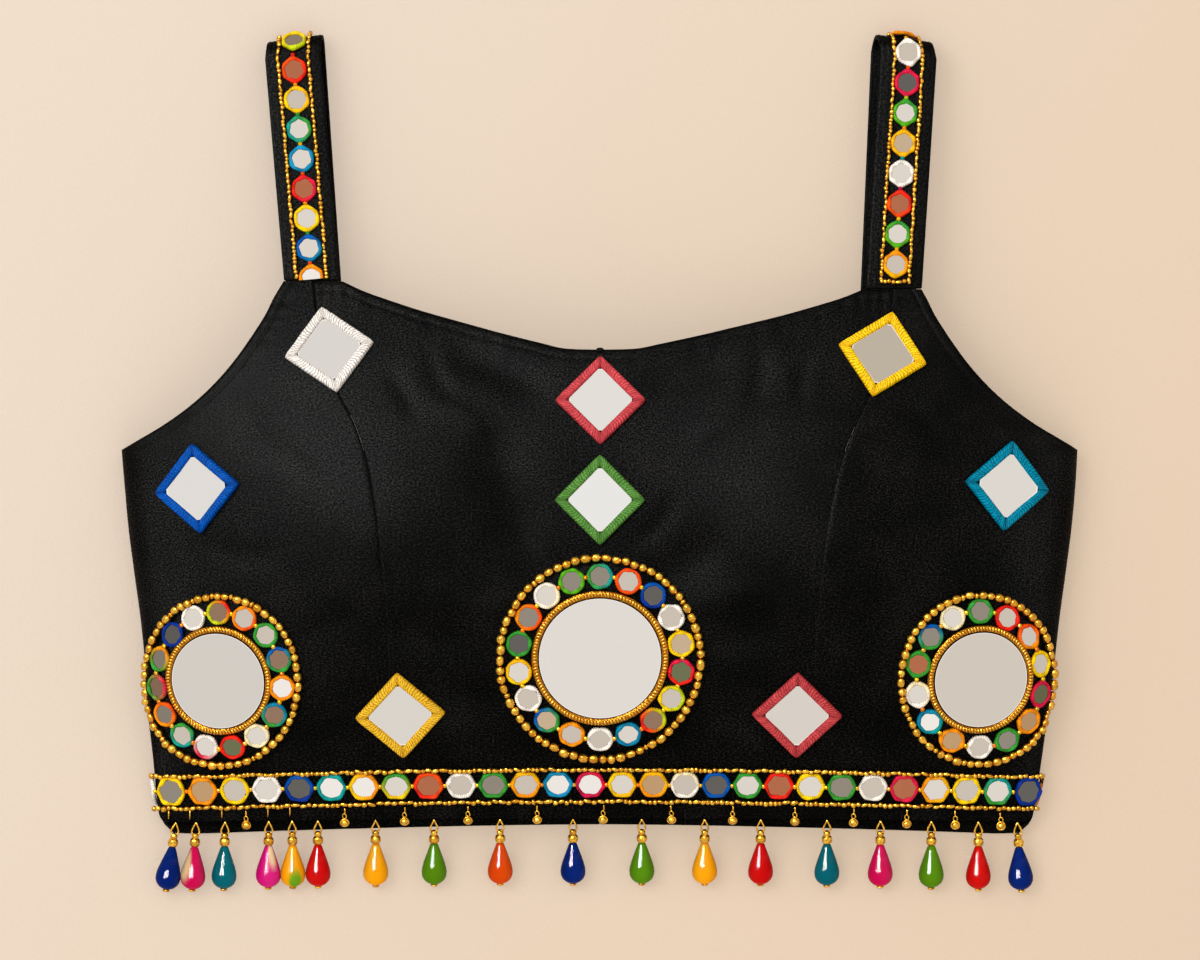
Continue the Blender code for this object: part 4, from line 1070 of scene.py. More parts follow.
for number, (name, x, y, turn, light, deep, tone) in enumerate(DIAMONDS):
    rng = Random(10 + number)
    on_patch = patch(x, y, turn)
    bar = start_piece()
    middle_line = DIAMOND_HALF - DIAMOND_BAR / 2
    side_long = 2 * middle_line
    lumps = [rng.uniform(-1, 1) for _ in range(4 * BAR_STEPS)]    # the winding is uneven

    def on_bar(column, row):
        """A point of the frame: columns go round the cord, rows round the square."""
        out, up = BAR_PROFILE[column % len(BAR_PROFILE)]
        step = row % (4 * BAR_STEPS)
        share = step % BAR_STEPS / BAR_STEPS
        share = mix(share, closer_at_ends(share), 0.5)
        reach = (middle_line + out * DIAMOND_BAR / 2) * sqrt(2)
        corner, following = (pi / 2 * (step // BAR_STEPS + i) for i in (0, 1))
        u = mix(cos(corner), cos(following), share) * reach
        v = mix(sin(corner), sin(following), share) * reach
        to_corner = min(share, 1 - share) * side_long
        tip = exp(-(to_corner / MITRE_REACH) ** 2)
        tuck = 1 - MITRE_TUCK * tip * max(out, 0) ** 2
        wave = 1 + BAR_WAVE * lumps[step] * max(out, 0)
        high = DIAMOND_HEIGHT * up * (1 - 0.30 * exp(-(to_corner / MITRE_NOTCH) ** 2))
        high *= 1 + 0.05 * lumps[(step * 7) % len(lumps)]
        # The cord runs from its light colour to its deep one: painted shade on its low sides by the
        # cloth. It is also darker at the mitres, and uneven in tone at random.
        dark = min(1, 0.35 * tip + 0.35 * (1 - up) + 0.40 * (lumps[(step * 3) % len(lumps)] + 1) / 2)
        return (on_patch(u * tuck * wave, v * tuck * wave, LIFT + high), shade(light, deep, dark),
                ((column - len(BAR_PROFILE) // 2) * BAR_ROUND, row * side_long / BAR_STEPS))

    rolled_grid(bar, len(BAR_PROFILE), 4 * BAR_STEPS, on_bar)
    reach = middle_line * sqrt(2)
    for angle in turns(4):
        tie = stand(on_patch, reach * cos(angle), reach * sin(angle), angle,
                    LIFT + DIAMOND_HEIGHT * 0.50)
        bead(bar, tie, DIAMOND_BAR * 0.8, TIE_THICK, shade(deep, (0, 0, 0), 0.5), sides=6)
    sew_on(f"frame_{name}", bar, [silk], [f"diamond_frame_{name}"])

    plate = start_piece()
    reach = (DIAMOND_HALF - DIAMOND_BAR + 2 * SEAM_GAP) * sqrt(2)
    seat_frame = flat_seat(on_patch, reach, LIFT)

    def clipped(point):
        """Put the points of an octagon in pairs at the corners of a square, which clips them."""
        eighth = round(atan2(point.y, point.x) / (pi / 4)) % 8
        corner = Vector((reach - GLASS_CLIP, (eighth % 2 * 2 - 1) * GLASS_CLIP, point.z))
        return seat_frame @ Matrix.Rotation(pi / 2 * (eighth // 2), 4, "Z") @ corner

    mirror_plate(plate, clipped, 8, reach, DIAMOND_MIRROR, tone)
    sew_mirror(f"mirror_{name}", plate, seat_frame, GLASS_INSET, f"diamond_mirror_{name}")


# === Medallions ===
# Three round mirrors under the bust. Round each lie a bezel of gilt barrel beads set side by side,
# a ring of little mirrors framed in silk and linked by single beads, and a string of gilt beads.

MEDALLIONS = (  # name, x, y, mirror radius, its glass, bezel tube, bezel beads, ring of little
                # mirrors, their width, string of beads, its bead, width and height of both rings
    ("centre", 0.0000, -0.0910, 0.0279, (0.76, 0.75, 0.74), 0.0017, 126, 0.0377, 0.0123, 0.0460,
     0.0042, (1.0, 1.0)),
    ("left", -0.1742, -0.1015, 0.0220, (0.67, 0.65, 0.63), 0.0016, 104, 0.0312, 0.0118, 0.0388,
     0.0040, (0.962, 1.012)),
    ("right", 0.1737, -0.1009, 0.0220, (0.65, 0.61, 0.56), 0.0016, 104, 0.0312, 0.0118, 0.0388,
     0.0040, (0.962, 1.012)),
)
ROUND_MIRROR = 0.0020
ROUND_MIRROR_EDGE = 0.0003
CORE_SIDES, CORE_STEPS = 10, 96       # of the cord under the bezel's beads
CHAIN_HEIGHT = 0.0018     # of a little mirror's frame
LINK_UP = 0.0011          # height of a link's middle over the patch
RING_LINK = (0.0023, 0.0025)          # length, thickness
BEAD_WANDERS = 0.0003
OUTER_UNEVEN, HOLE_UNEVEN = 0.010, 0.016
PANE, PANE_UP, PANE_LEAN = 0.0008, 0.0001, 0.02  # thickness and place of a little mirror
FRAME_STEPS = 32
FRAME_ROUND = 0.0008      # way of the thread round a frame from one point of it to the next
FRAME_PROFILE = (  # share of the way from the glass to the outer edge, height
    (0.00, 0.00), (0.04, 0.62), (0.26, 0.94), (0.56, 1.00), (0.86, 0.68), (1.00, 0.00),
)
SILKS = {
    "white": (0.781, 0.731, 0.664), "cream": (0.790, 0.672, 0.403), "yellow": (0.806, 0.521, 0.003),
    "gold": (0.806, 0.403, 0.003), "orange": (0.806, 0.244, 0.003), "scarlet": (0.773, 0.067, 0.004),
    "red": (0.722, 0.015, 0.007), "rose": (0.605, 0.010, 0.050), "plum": (0.420, 0.008, 0.055),
    "lime": (0.437, 0.538, 0.007), "grass": (0.076, 0.353, 0.008), "green": (0.030, 0.262, 0.026),
    "teal": (0.003, 0.269, 0.252), "sea": (0.002, 0.176, 0.319), "azure": (0.005, 0.244, 0.470),
    "blue": (0.001, 0.076, 0.370), "navy": (0.002, 0.025, 0.235),
}
# Tones of the little mirrors' glass: painted reflections of what each one shows.
MIRROR_REFLECTIONS = {
    "light": (0.740, 0.710, 0.670), "white": (0.880, 0.870, 0.860), "pale": (0.610, 0.560, 0.500),
    "grey": (0.290, 0.265, 0.225), "dark": (0.130, 0.127, 0.122), "tan": (0.540, 0.350, 0.190),
    "brown": (0.300, 0.190, 0.130), "rust": (0.460, 0.160, 0.080), "olive": (0.160, 0.175, 0.095),
    "buff": (0.580, 0.450, 0.310),
}
GILT = (0.920, 0.530, 0.060, 1)
GILT_DEEP = (0.680, 0.320, 0.022, 1)
GILT_BROWN = (0.420, 0.165, 0.010, 1)
GILT_BLOTCH = (0.260, 0.090, 0.008, 1)
BLOTCH_SIZE, DENT, DENT_DEPTH = 0.0013, 0.0016, 0.0005
LINK_GILTS = 3 * ((0.900, 0.560, 0.020, 1),) + 2 * (GILT,) + ((0.900, 0.240, 0.015, 1),)

# Clockwise from the top: silks of the frame, glass.
RINGS = {
    "centre": (
        ("green teal", "grey"), ("scarlet", "pale"), ("navy blue", "dark"), ("white", "pale"),
        ("yellow", "buff"), ("red rose", "olive"), ("lime yellow", "pale"), ("red lime", "brown"),
        ("sea", "light"), ("white", "pale"), ("orange", "pale"), ("green blue", "buff"),
        ("white", "pale"), ("gold yellow", "light"), ("green", "dark"), ("scarlet orange", "grey"),
        ("white cream", "light"), ("grass", "grey"),
    ),
    "left": (
        ("lime red", "brown"), ("orange scarlet", "pale"), ("green", "pale"), ("green blue", "brown"),
        ("orange", "white"), ("sea green", "brown"), ("cream", "light"), ("red", "olive"),
        ("white rose", "light"), ("green teal", "pale"), ("orange scarlet", "grey"),
        ("green rose", "brown"), ("green orange", "grey"), ("navy", "dark"), ("white", "light"),
    ),
    "right": (
        ("green", "grey"), ("red", "pale"), ("scarlet orange", "light"), ("yellow", "light"),
        ("rose", "olive"), ("orange", "tan"), ("green", "grey"), ("white", "pale"),
        ("orange", "tan"), ("sea teal", "white"), ("cream white", "light"), ("green", "rust"),
        ("green blue", "grey"), ("cream", "light"),
    ),
}

# Gilt glass beads: bright, a little uneven, and browned in random blotches.
gilt = new_finish("gilt_beads", Metallic=0.90)
blotches = gilt.ramp(gilt.noise(gilt.place(), BLOTCH_SIZE, 3), 0.38, 0.66)
own = gilt.own_colour()
gilt.give("Base Color", gilt.blend(blotches * 0.72, own, gilt.blend(0.80, own, GILT_BLOTCH)))
gilt.give("Roughness", blotches * 0.14 + 0.07)
bump(gilt, gilt.noise(gilt.place(), DENT), DENT_DEPTH, 0.8)


def little_mirror(bm, panes, rng, lay, wide, long, corners, silks, tone, glass_share=0.72):
    """A mirror cut by hand in a frame of cord wound with silk. lay(point) puts its points in place.
    The frame is drawn out to its two links, along x, and is a hexagon as far as corners says. The
    glass goes into a bmesh of its own."""
    silks = [SILKS[name] for name in silks.split()]
    turn, notches = rng.uniform(0, 2 * pi), rng.choice((6, 7, 7, 8))
    bumps = [(rng.uniform(0.6, 1.4), rng.randint(3, 7), rng.uniform(0, 2 * pi)) for _ in range(3)]
    inner = wide / 2 * glass_share

    def on_frame(column, row):
        angle = 2 * pi * (row % FRAME_STEPS) / FRAME_STEPS
        uneven = sum(a * sin(k * angle + start) for a, k, start in bumps)
        hexagon = 1 / cos(angle % (pi / 3) - pi / 6)
        outer = wide / 2 * mix(1.01, hexagon, corners) * (1 + OUTER_UNEVEN * uneven)
        outer += (long / 2 - wide / 2 * mix(1.01, 1.155, corners)) * abs(cos(angle)) ** 9
        out, up = FRAME_PROFILE[column % len(FRAME_PROFILE)]
        facet = 1 / cos((angle + turn) % (2 * pi / notches) - pi / notches)
        hole = inner * facet * mix(0.97, 0.90 * hexagon, corners / 2) * (1 - HOLE_UNEVEN * uneven)
        reach = mix(hole, outer, out)
        high = CHAIN_HEIGHT * up * (1 + 0.06 * sin(5 * angle + turn) + 0.04 * uneven)
        share = (0.5 + 0.5 * cos(angle - turn)) ** 1.5 if len(silks) > 1 else 0
        colour = [mix(a, b, share) * (1 + 0.10 * uneven) for a, b in zip(silks[0], silks[-1])]
        # Painted shade: the low walls of the frame are darker, the inner one against the glass most of
        # all.
        deep = (0.16, 0.66)[out > 0.5] if up < 0.3 else 1.0
        point = lay(Vector((reach * cos(angle), reach * sin(angle), high)))
        return (point, [c * deep for c in colour] + [1],
                (column * FRAME_ROUND, row / FRAME_STEPS * pi * wide))

    rolled_grid(bm, len(FRAME_PROFILE), FRAME_STEPS, on_frame)
    lean = (Matrix.Rotation(rng.uniform(-PANE_LEAN, PANE_LEAN), 4, "X")
            @ Matrix.Translation((0, 0, PANE_UP)))
    mirror_plate(panes, lambda point: lay(lean @ point), 8, inner * 1.16, PANE, MIRROR_REFLECTIONS[tone], rng)


def sew_chain(name, frames, panes, plain, finishes):
    """Sew on the frames of a chain of little mirrors, in place of a plain solid, and its glass."""
    sew_on(f"{name}_little_frames", frames, finishes, [plain])
    sew_on(f"{name}_little_mirrors", panes, [glass], flat=(0,))


def gilded(rng):
    share = rng.random() ** 2
    return tuple(mix(a, b, share) for a, b in zip(GILT, GILT_DEEP))


for number, (name, x, y, mirror, tone, tube, bezel_beads, chain, wide, string, size,
             (broad, high)) in enumerate(MEDALLIONS):
    rng = Random(30 + number)
    on_patch = patch(x, y)
    seat_frame = flat_seat(on_patch, mirror, LIFT)
    piece = f"medallion_{name}"

    plate = start_piece()
    mirror_plate(plate, seat_frame.__matmul__, 72, mirror, ROUND_MIRROR, tone)
    sew_mirror(f"{piece}_glass", plate, seat_frame, ROUND_MIRROR_EDGE, f"{piece}_mirror")

    bezel = start_piece()
    core = mirror + SEAM_GAP + tube

    # The cord under the beads is real. Its dark brown gilt paints the shade into the gaps between the
    # beads.
    def on_core(column, row):
        angle, round_it = 2 * pi * row / CORE_STEPS, 2 * pi * column / CORE_SIDES
        reach = core - tube * 0.06 + tube * 1.02 * cos(round_it)
        return (seat_frame @ Vector((reach * cos(angle), reach * sin(angle),
                                     tube * (0.66 + 0.62 * sin(round_it)))), GILT_BROWN, (0, 0))

    rolled_grid(bezel, CORE_SIDES, CORE_STEPS, on_core)
    for angle in turns(bezel_beads):
        spot = (seat_frame @ Matrix.Rotation(angle, 4, "Z")
                @ Matrix.Translation((core, 0, tube * 0.95))
                @ Matrix.Rotation(rng.uniform(0.10, 0.30), 4, "Z"))
        bead(bezel, spot, tube * rng.uniform(1.45, 1.65), 2 * pi * core / bezel_beads * 0.90,
             gilded(rng), high=tube * rng.uniform(1.65, 1.9))
    sew_on(f"{piece}_bezel_beads", bezel, [gilt], [f"{piece}_bezel"])

    ring, panes = start_piece(), start_piece()
    mirrors = RINGS[name]
    for i, (silks, tone) in enumerate(mirrors):
        angle = pi / 2 - 2 * pi * i / len(mirrors)
        spot = stand(on_patch, chain * broad * cos(angle), chain * high * sin(angle), angle + pi / 2,
                     LIFT)
        pitch = 2 * pi * chain / len(mirrors) * mix(high, broad, abs(sin(angle)))
        little_mirror(ring, panes, rng, spot.__matmul__, wide * rng.uniform(0.97, 1.01),
                      pitch * 0.99, 0.30, silks, tone)
        angle -= pi / len(mirrors)
        link = stand(on_patch, chain * broad * cos(angle), chain * high * sin(angle), angle,
                     LIFT + LINK_UP)
        bead(ring, link, *RING_LINK, rng.choice(LINK_GILTS), stuff=1)
    sew_chain(piece, ring, panes, f"{piece}_chain", [cord_silk, gilt])

    beads = start_piece()
    run, around = 0.0, 2 * pi * string
    while run < around - size * 0.4:
        seed = rng.random() < 0.10
        long = size * (rng.uniform(0.48, 0.60) if seed else rng.uniform(0.86, 1.22))
        fat = size * (rng.uniform(0.66, 0.80) if seed else rng.uniform(0.86, 1.06))
        if around - run - long < size * 0.55:
            long = around - run
        angle = (run + long / 2) / string
        reach = string + rng.uniform(-BEAD_WANDERS, BEAD_WANDERS)
        spot = stand(on_patch, reach * broad * cos(angle), reach * high * sin(angle),
                     angle + pi / 2 + rng.uniform(-0.14, 0.14), LIFT + fat / 2)
        bead(beads, spot, long * 0.93, fat, gilded(rng), sides=10, rings=6)
        run += long
    sew_on(f"{piece}_bead_string", beads, [gilt], [f"{piece}_beads"])


# === Hem band ===
# A chain of thirty little mirrors between two strings of gilt seed beads and short bugles, sewn on
# above the hem. It runs on round both side seams. Thirteen gilt balls hang from the lower string.

BAND_MID_Y, BAND_UPPER_Y, BAND_LOWER_Y = -0.1488, -0.1419, -0.1565
BAND_DIP = 0.0038         # the band's ends lie this much lower, on the side seams
BAND_PITCH = (0.01482, 0.01436)  # left and right of the centre line
BAND_START = 0.0030       # the link nearest to the centre line lies this far right of it
BAND_WRAP = 0.0025        # the band runs on past each side seam by this
BAND_WIDE = 0.0134        # height of a mirror in its frame
BAND_LINK = (0.0021, 0.0021)
SEED = 0.0025             # thickness of a string of seed beads
STRING_END = 0.0010       # a string ends this far inside the end of the band

BAND_MIRRORS = (  # from left to right: silks of the frame, glass. The links between lie on BAND_START.
    ("white", "light"), ("yellow", "grey"), ("orange", "tan"), ("yellow", "pale"),
    ("white", "light"), ("navy blue", "dark"), ("teal", "white"), ("orange yellow", "white"),
    ("green yellow", "light"), ("scarlet red", "rust"), ("white", "pale"), ("green", "grey"),
    ("orange gold", "pale"), ("azure sea", "white"), ("rose plum", "white"), ("gold yellow", "light"),
    ("gold orange", "tan"), ("white cream", "pale"), ("blue", "dark"), ("green", "light"),
    ("red", "rust"), ("yellow", "light"), ("green", "grey"), ("white", "pale"),
    ("rose", "rust"), ("gold orange", "light"), ("yellow", "pale"), ("green teal", "light"),
    ("navy", "dark"), ("orange", "tan"),
)
MIRRORS_LEFT = 15         # as many of them lie left of the middle link

DANGLERS = (  # x of a ball's wire
    -0.1622, -0.1169, -0.0894, -0.0605, -0.0289, 0.0018, 0.0325,
    0.0610, 0.0894, 0.1164, 0.1407, 0.1627, 0.1833,
)
WIRE, WIRE_SIDES = 0.0007, 6
DANGLER_DOWN = (0.0020, 0.0032, 0.0046)         # stations of a wire below the string
LOOP_DOWN, BALL_DOWN, BALL_LIFT = 0.0054, 0.0084, 0.0014
LOOP = (0.0009, 0.0013, 0.0004)                 # half width, half length, half height
CUP, BALL = 0.0018, 0.0031                      # radius of the cup's ring, and the ball in it
HOOK_DOWN = (0.0006, 0.0030, 0.0048)
HOOK_LIFT, DANGLER_LIFT, SWING = 0.0009, 0.0010, 0.0004
HOOK_WIRES = (-0.1975, -0.1879, -0.1733, -0.1522, -0.1421)  # x of wires that the outer drops hook on


def band_row(y, arc):
    """Y of a row of the hem band at an arc length: it dips towards the side seams."""
    return y - BAND_DIP * min(1, abs(arc) / HEM_REACH) ** 2


def band_ends(y):
    return tuple(seam_arc(side, band_row(y, HEM_REACH)) + SIGN[side] * BAND_WRAP
                 for side in (LEFT, RIGHT))


def seed_string(bm, rng, place, points, thick):
    """Seed beads and bugles of all lengths, threaded along points given as u and v on the cloth."""
    at, total = 0.0, line_length(points)
    while at < total:
        bugle = rng.random() < 0.45
        long = thick * (rng.uniform(1.15, 1.8) if bugle else rng.uniform(0.75, 1.10))
        fat = thick * (rng.uniform(0.78, 0.95) if bugle else rng.uniform(0.92, 1.18))
        u, v, slant = on_line(points, min(at + long / 2, total))
        slant += rng.uniform(-0.32, 0.32)
        wander = rng.uniform(-0.14, 0.14) * thick
        spot = stand(place, u - sin(slant) * wander, v + cos(slant) * wander, slant,
                     LIFT + fat * 0.48)
        bead(bm, spot, long, fat, gilded(rng), sides=7)
        at += long * 0.94


def wire(bm, points, thick, colour=GILT, closed=False):
    """A wire bent through points."""
    count = len(points)
    frames = []
    for i, point in enumerate(points):
        before, after = neighbours(points, i)
        if closed:
            before, after = points[i - 1], points[(i + 1) % count]
        run = (after - before).normalized()
        side = run.cross(Vector((0, 0, 1)) if abs(run.z) < 0.9 else Vector((1, 0, 0))).normalized()
        frames.append((point, side, side.cross(run)))
    rows = count if closed else count + 1

    def on_wire(column, row):
        end = not closed and row in (0, rows)
        point, side, up = frames[row % count if closed else min(max(row - 1, 0), count - 1)]
        if end:
            return point, colour, (0, 0)
        angle = 2 * pi * column / WIRE_SIDES
        return point + (side * cos(angle) + up * sin(angle)) * thick / 2, colour, (0, 0)

    rolled_grid(bm, WIRE_SIDES, rows, on_wire)


rng = Random(60)
chain, panes = start_piece(), start_piece()
first, last = band_ends(BAND_MID_Y)
for i, (silks, tone) in enumerate(BAND_MIRRORS):
    pitch = BAND_PITCH[LEFT if i < MIRRORS_LEFT else RIGHT]
    arc = BAND_START + (i - MIRRORS_LEFT + 0.5) * pitch
    y = band_row(BAND_MID_Y, arc)
    wide = BAND_WIDE * rng.uniform(0.98, 1.01)
    if 0 < i < len(BAND_MIRRORS) - 1:
        lay = stand(on_front, arc, y, 0, LIFT).__matmul__
    else:
        # The outermost ones bend round the side seams, and are cut off where the band ends.
        def lay(point):
            return on_front(max(first, min(last, arc + point.x)), y + point.y, LIFT + point.z)
    little_mirror(chain, panes, rng, lay, wide, pitch * 0.995, 0.75, silks, tone, glass_share=0.75)
    if arc - pitch / 2 > first:
        link = stand(on_front, arc - pitch / 2, y, pi / 2, LIFT + LINK_UP)
        bead(chain, link, *BAND_LINK, rng.choice(LINK_GILTS), stuff=1)
sew_chain("hem_band", chain, panes, "hem_band_mirrors", [cord_silk, gilt])

for name, row_y in (("upper", BAND_UPPER_Y), ("lower", BAND_LOWER_Y)):
    string = start_piece()
    first, last = band_ends(row_y)
    arcs = [mix(first + STRING_END, last - STRING_END, i / 120) for i in range(121)]
    seed_string(string, rng, on_front, [(arc, band_row(row_y, arc)) for arc in arcs], SEED)
    for x in DANGLERS + HOOK_WIRES if name == "lower" else ():
        y = band_row(row_y, x)
        arc = arc_at(x, y)
        if x in HOOK_WIRES:
            wire(string, [on_front(arc, y - down, HOOK_LIFT) for down in HOOK_DOWN], WIRE)
            continue
        wire(string, [on_front(arc, y - down, DANGLER_LIFT) for down in DANGLER_DOWN],
             WIRE * 1.2)
        arc += rng.uniform(-SWING, SWING)
        loop = stand(on_front, arc, y - LOOP_DOWN, 0, BALL_LIFT)
        wire(string, [loop @ Vector((LOOP[0] * sin(t), LOOP[1] * cos(t), LOOP[2] * sin(t)))
                      for t in turns(10)], WIRE * 0.9, closed=True)
        cup = stand(on_front, arc, y - BALL_DOWN, 0, BALL_LIFT)
        wire(string, [cup @ Vector((CUP * sin(t), CUP * cos(t), 0)) for t in turns(16)],
             WIRE * 1.2, gilded(rng), closed=True)
        bead(string, cup, BALL, BALL, GILT, sides=12, rings=8)
    sew_on(f"hem_band_bead_string_{name}", string, [gilt], [f"hem_band_beads_{name}"])


# === Strap trims ===
# The same little mirrors and seed beads, narrower, from the front seam of each strap over the bend.
# A string of beads closes the right strap's trim across its lower end.

STRAP_ROW_OUT = (0.0069, 0.0064)  # the strings lie this far from a strap's middle
STRAP_SEED = 0.0021
STRAP_MIRROR = 0.0116
STRAP_LINK, STRAP_LINK_UP = (0.0019, 0.0020), 0.0010
STRAP_CHAIN = (  # first link from the front seam, pitch
    (-0.0058, 0.01375),
    (0.0040, 0.01400),
)
STRAP_ROW_START = (0.0006, 0.0030)
STRAP_TRIM_END = 2.15     # the trim ends this far round the bend, in radians
STRAP_CLEAR = 0.0002      # clearance of the cut mirrors

STRAP_MIRRORS = (  # up from the front seam: silks of the frame, glass, silk of the link above it
    (("orange", "white", "scarlet"), ("blue sea", "light", "green"), ("yellow", "light", "orange"),
     ("red rose", "rust", "scarlet"), ("azure sea", "light", "gold"), ("green teal", "light", "green"),
     ("gold yellow", "pale", "orange"), ("red scarlet", "rust", "red"), ("yellow lime", "grey", "gold"),
     ("orange", "tan", "gold")),
    (("orange gold", "pale", "gold"), ("grass green", "light", "yellow"),
     ("red scarlet", "rust", "plum"), ("white", "light", "teal"), ("gold", "buff", "orange"),
     ("grass green", "light", "lime"),
     ("rose", "dark", "scarlet"), ("white", "pale", "gold"), ("orange", "tan", "orange")),
)

for side, name in ((LEFT, "left"), (RIGHT, "right")):
    rng = Random(80 + side)
    bend_start = STRAP_ARCS[side][STRAP_FRONT_ROWS]
    end = bend_start + STRAP_BEND * STRAP_TRIM_END

    def on_this_strap(u, v, lift, side=side):
        return on_strap(side, u, -v, lift)

    chain, panes = start_piece(), start_piece()
    first, pitch = STRAP_CHAIN[side]
    for i, (silks, tone, link_silk) in enumerate(STRAP_MIRRORS[side]):
        middle = first + pitch * (i + 0.5)
        spot = stand(on_this_strap, middle, 0, 0, LIFT)
        little_mirror(chain, panes, rng, spot.__matmul__, STRAP_MIRROR * rng.uniform(0.98, 1.02),
                      pitch * 0.99, 0.55, silks, tone)
        if middle + pitch / 2 < end:
            link = stand(on_this_strap, middle + pitch / 2, 0, pi / 2, LIFT + STRAP_LINK_UP)
            bead(chain, link, *STRAP_LINK, (*SILKS[link_silk], 1))
    # The lowest mirror is sewn into the seam, where the cloth covers the rest of it. The last one
    # ends where the strap comes down on the card.
    base = stand(on_this_strap, STRAP_ROW_START[side] - STRAP_CLEAR, 0)
    for bm in (chain, panes):
        for cut, outside in ((base.translation, -base.to_3x3().col[0]),
                             (Vector((0, 0, STRAP_CLEAR)), Vector((0, 0, -1)))):
            bmesh.ops.bisect_plane(bm, geom=bm.verts[:] + bm.edges[:] + bm.faces[:],
                                   plane_co=cut, plane_no=outside, clear_outer=True)
            bmesh.ops.holes_fill(bm, edges=[e for e in bm.edges if e.is_boundary])
        bmesh.ops.recalc_face_normals(bm, faces=bm.faces)
    sew_chain(f"strap_{name}", chain, panes, f"strap_{name}_mirrors", [cord_silk])

    strings = start_piece()
    low = STRAP_ROW_START[side]
    run = [mix(low, end, i / 60) for i in range(61)]
    left_row = [(u, -STRAP_ROW_OUT[side]) for u in run]
    right_row = [(u, STRAP_ROW_OUT[side]) for u in run]
    path = left_row[::-1] + right_row if side == RIGHT else left_row + right_row[::-1]
    seed_string(strings, rng, on_this_strap, path, STRAP_SEED)
    sew_on(f"strap_{name}_bead_strings", strings, [gilt], [f"strap_{name}_beads"])


# === Drops ===
# Eighteen pear-shaped glass beads along the hem. An eye pin runs up through each, with a cap below,
# a ball and a seed bead above, and is bent into a pear-shaped loop that is hooked into the hem.

DROP_HANG = 0.0007        # a loop starts this far outside the hem
DROP_BELLY, DROP_RADIUS = 0.0250, 0.0058
DROP_CLEAR = 0.0002
PEAR = (  # distance down from the loop's top, radius
    (0.0110, 0.0004), (0.0111, 0.0013), (0.0117, 0.0018), (0.0134, 0.0024), (0.0156, 0.0032),
    (0.0182, 0.0041), (0.0206, 0.0049), (0.0228, 0.0055), (0.0248, 0.0058), (0.0268, 0.00565),
    (0.0285, 0.0049), (0.0298, 0.0036), (0.0306, 0.0022), (0.0309, 0.0007),
)
PEAR_SIDES = 32
EYE_WIDE, EYE_LONG, EYE_DOWN = 0.0026, 0.0029, 0.0027   # half width, half length, its middle
PEAR_BEADS = (  # seed bead, ball and end cap: distance down, length, thickness, sides, rings
    (0.0062, 0.0028, 0.0034, 14, 8), (0.0091, 0.0042, 0.0050, 14, 8),
    (0.0314, 0.0014, 0.0034, 12, 6),
)
STREAK, STREAK_PALE = 0.0022, (1.0, 0.95, 0.85, 1)
PATCH_ROUND, PATCH_ALONG = 0.7, 0.28  # a patch's reach in radians, and as a share of the length
PEAR_GLASS = {  # body, its light streaks
    "navy": ((0.001, 0.012, 0.135), (0.010, 0.050, 0.400)),
    "pink": ((0.560, 0.002, 0.075), (0.860, 0.100, 0.250)),
    "teal": ((0.001, 0.110, 0.150), (0.010, 0.280, 0.320)),
    "magenta": ((0.620, 0.002, 0.180), (0.880, 0.120, 0.360)),
    "amber": ((0.920, 0.355, 0.002), (0.980, 0.520, 0.030)),
    "red": ((0.550, 0.003, 0.003), (0.840, 0.030, 0.020)),
    "green": ((0.080, 0.215, 0.003), (0.150, 0.460, 0.020)),
    "orange": ((0.660, 0.055, 0.002), (0.900, 0.180, 0.010)),
}
DROPS = (  # x of the loop, splay in degrees, glass, patch: its colour, degrees round it, share along
    (-0.1946, -8.4, "navy", None), (-0.1853, -3.6, "pink", ((0.70, 0.50, 0.27), 142, 0.45)),
    (-0.1720, -1.3, "teal", None), (-0.1519, -0.8, "magenta", ((0.80, 0.60, 0.36), 58, 0.22)),
    (-0.1412, 0.6, "amber", ((0.14, 0.34, 0.01), 76, 0.74)), (-0.1294, 0.0, "red", None),
    (-0.1029, 0.0, "amber", None), (-0.0761, 0.0, "green", None), (-0.0458, 0.0, "orange", None),
    (-0.0124, 0.0, "navy", None), (0.0192, 0.0, "green", None), (0.0480, 0.0, "amber", None),
    (0.0737, 0.0, "red", None), (0.1041, 0.0, "teal", None), (0.1286, 0.0, "pink", None),
    (0.1520, 0.0, "green", None), (0.1736, 0.0, "red", None), (0.1915, 3.5, "navy", None),
)

# Cast glass with a wet gloss. It is swirled: paler streaks run down inside it.
pear_glass = new_finish("cast_glass", Roughness=0.5, Specular_IOR_Level=0.0, Coat_Weight=1.0,
                        Coat_Roughness=0.04, Coat_IOR=1.09)
own = pear_glass.own_colour()
streaks = pear_glass.noise(pear_glass.uv("wound"), STREAK, 3, (1, 0.22, 1))
pear_glass.give("Base Color", pear_glass.blend(
    pear_glass.ramp(streaks, 0.50, 0.80) * 0.06, own, pear_glass.blend(0.35, own, STREAK_PALE)))

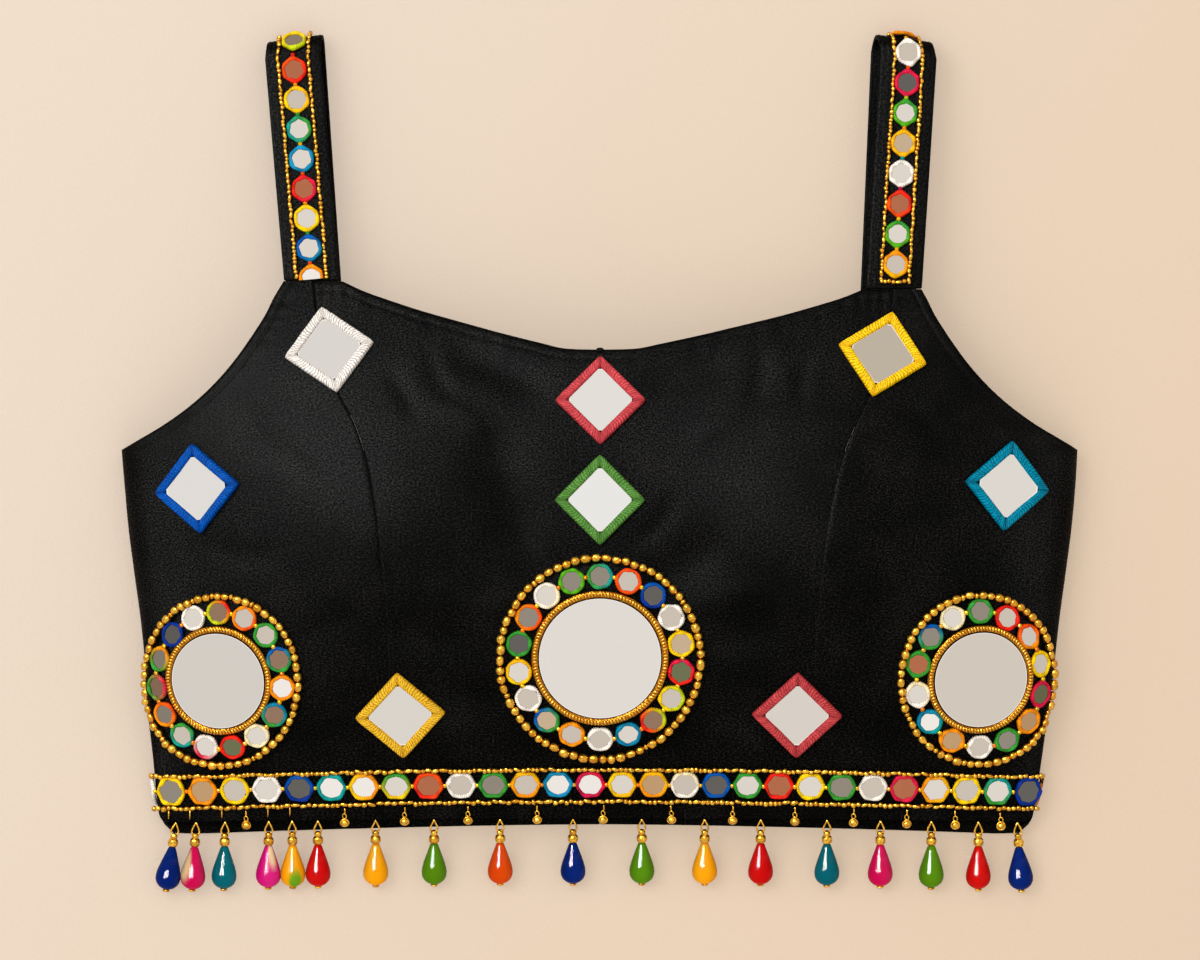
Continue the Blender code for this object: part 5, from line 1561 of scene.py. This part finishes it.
for number, (x, splay, kind, spot_of) in enumerate(DROPS, 1):
    rng = Random(100 + number)
    top = Vector((x, hem(x) - DROP_HANG, height(x, hem(x)) - CLOTH / 2))
    lean = asin((top.z - DROP_RADIUS - DROP_CLEAR) / DROP_BELLY)
    hang = (Matrix.Translation(top) @ Matrix.Rotation(radians(splay), 4, "Z")
            @ Matrix.Rotation(lean - pi / 2, 4, "X"))
    body, light = PEAR_GLASS[kind]
    drop, fittings = start_piece(), start_piece()

    def on_pear(column, row):
        down, radius = PEAR[row]
        angle = 2 * pi * (column % PEAR_SIDES) / PEAR_SIDES
        colour = [mix(a, b, 0.06 + 0.06 * sin(angle * 2 + number)) for a, b in zip(body, light)]
        if spot_of:
            patch_colour, round_it, along_it = spot_of
            away = abs((angle + radians(round_it) + pi) % (2 * pi) - pi)
            off = row / (len(PEAR) - 1) - along_it
            share = min(1, max(0, 3 * exp(-(away / PATCH_ROUND) ** 2 - (off / PATCH_ALONG) ** 2) - 1))
            colour = [mix(a, b, share) for a, b in zip(colour, patch_colour)]
        # The front of the drop faces up, where y of its own frame is negative. Its colour is lighter
        # there and deeper towards its edges and underside: painted shade.
        colour = [c * mix(0.45, 1.10, max(0, -sin(angle)) ** 0.7) for c in colour]
        reach = 0 if row in (0, len(PEAR) - 1) else radius
        return (hang @ Vector((reach * cos(angle), reach * sin(angle), -down)), (*colour, 1),
                (radius * angle, down))

    rolled_grid(drop, PEAR_SIDES, len(PEAR) - 1, on_pear)
    loop = [hang @ Vector((EYE_WIDE * sin(t) * (0.55 - 0.45 * cos(t)), 0,
                           EYE_LONG * cos(t) - EYE_DOWN)) for t in turns(18)]
    wire(fittings, loop, WIRE * 1.2, closed=True)
    for down, long, fat, sides, rings in PEAR_BEADS:
        bead(fittings, hang @ Matrix.Translation((0, 0, -down)) @ Matrix.Rotation(pi / 2, 4, "Y"),
             long, fat, gilded(rng), sides=sides, rings=rings)
    sew_on(f"drop_{number}_glass", drop, [pear_glass], [f"drop_{number:02d}"])
    sew_on(f"drop_{number}_fittings", fittings, [gilt])


# === What the windows show in ===
# Beads and silk show the first window. The drops and the cloth show one each of their own, and the
# mirrors show the plain room. One light is for the silk, and a fill without shadows for the card.

for light, finishes, state in ((window, (glass, pear_glass, black_cotton), "EXCLUDE"),
                               (drops_window, (pear_glass,), "INCLUDE"),
                               *((light, (black_cotton,), "INCLUDE") for light in cloth_lights),
                               (silk_light, (silk, cord_silk), "INCLUDE"),
                               (card_fill, (card_finish,), "INCLUDE")):
    shown = bpy.data.collections.new(light.name)
    light.light_linking.receiver_collection = shown
    for piece in bpy.context.scene.objects:
        if piece.type == "MESH" and any(finish.material in piece.data.materials[:1]
                                        for finish in finishes):
            shown.objects.link(piece)
    for entry in shown.collection_objects:
        entry.light_linking.link_state = state
